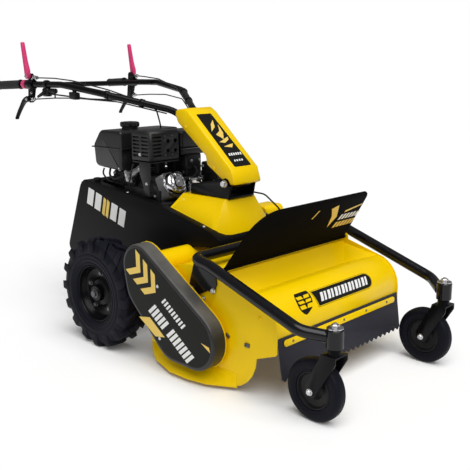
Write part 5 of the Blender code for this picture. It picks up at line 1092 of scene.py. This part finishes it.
drum = rod([(.1, .03), (.104, .034), (.128, .034)], (-.212, .17, .56), 40)
piece("engine_shroud", satin_black, *[soft_box(*cover) for cover in covers], drum)
fix("engine_shroud_bolts", hex_bolt, .006, zinc,
    (LEFT, (.094, -.066, .62), (.094, -.126, .62), (.094, -.126, .566), (.034, -.02, .596)),
    (FRONT, (.06, -.038, .64), (.1, -.038, .64)), (LEFT, (-.112, .226, .588)))
piece("engine_base", dark_cast, soft_box((-.128, -.075, .47), (.08, 0.0, .5), .006, 3),
      soft_box((-.124, -.052, .5), (-.106, -.014, .545), .004, 2),
      soft_box((-.128, .03, .47), (-.1, .15, .548), .008, 3))
fix("engine_base_bolts", hex_bolt, .0065, zinc,
    (LEFT, (-.124, -.034, .524), (-.128, -.06, .485), (-.128, .05, .5), (-.128, .12, .5)),
    (FRONT, (-.1, -.075, .485), (-.04, -.075, .485)))

# The sheathed cables: steel wire in black sleeves. The throttle's runs from its box on the left bar
# down to the carburettor, the clutch's from the column to the deck; the short ones are the levers'.
sleeve_rubber = finish("cable_sleeve", (.008, .008, .009), .45, shine=.3, size=420.0,
                       depth=.0002)
box = bar_spot(-1.0, .46)
route = [(box.x, box.y - .0205, box.z - .036), (-.212, .23, .878), (-.12, .085, .872), (-.015, .075, .84),
         (.03, .104, .77), (.03, .104, .65), (.035, .054, .64)]
throttle_run = assembled("throttle_cable_sleeve", tube(route, .003, 12, bend=.06, steps=14))
throttle_run.data.materials.append(sleeve_rubber)
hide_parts("throttle_cable")
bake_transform(throttle_run)
route = [(.069, -.345, .5525), (.115, -.368, .54), (.148, -.405, .49), (.155, -.432, .45), (.155, -.432, .3703)]
piece("clutch_cable_sleeve", sleeve_rubber, tube(route, .003, 12, bend=.04, steps=14), node="clutch_cable")
for side, sign in SIDES:
    spot = bar_spot(sign, LEVER_Y)
    over = [spot + Vector((0.0, -.046, .026)), bar_spot(sign, .44) + Vector((-sign * .02, 0, .024)),
            (sign * .215, .33, .945), (sign * .17, .165, .912), (sign * .06, -.04, .838)]
    under = [spot + Vector((0.0, -.024, -.058)), bar_spot(sign, .42) + Vector((-sign * .006, 0, -.052)),
             (sign * .226, .3, .88), (sign * .16, .12, .868), (sign * .06, -.04, .826)]
    runs = [tube(line, .0024, 10, bend=.09, steps=12) for line in (over, under)]
    piece("lever_cables_" + side, sleeve_rubber, *runs, body="handlebar")

# What turns and carries inside: the rotor with its six forged hammers, the belt with its shaft, the
# gearbox and the rails. Oiled or bare steel and dark castings, mostly out of sight.
bare_steel = finish("bare_steel", (.34, .33, .32), .36, metallic=1.0, depth=.0003, clouding=.25, dust_and_sheen=.08)
belt_rubber = finish("belt_rubber", (.016, .016, .017), .66, size=300.0, depth=.0004, clouding=.1)
for node in ["rotor", "cross_shaft"] + ["hammer_%d" % (k + 1) for k in range(6)]:
    broken_edges(node, bare_steel, .0006, 1)
broken_edges("drive_belt", belt_rubber, .0006, 1)
broken_edges("transmission_case", dark_cast, .003, 3)
broken_edges("chassis_frame", black_enamel, .001)

bpy.context.scene.view_settings.view_transform = "Standard"
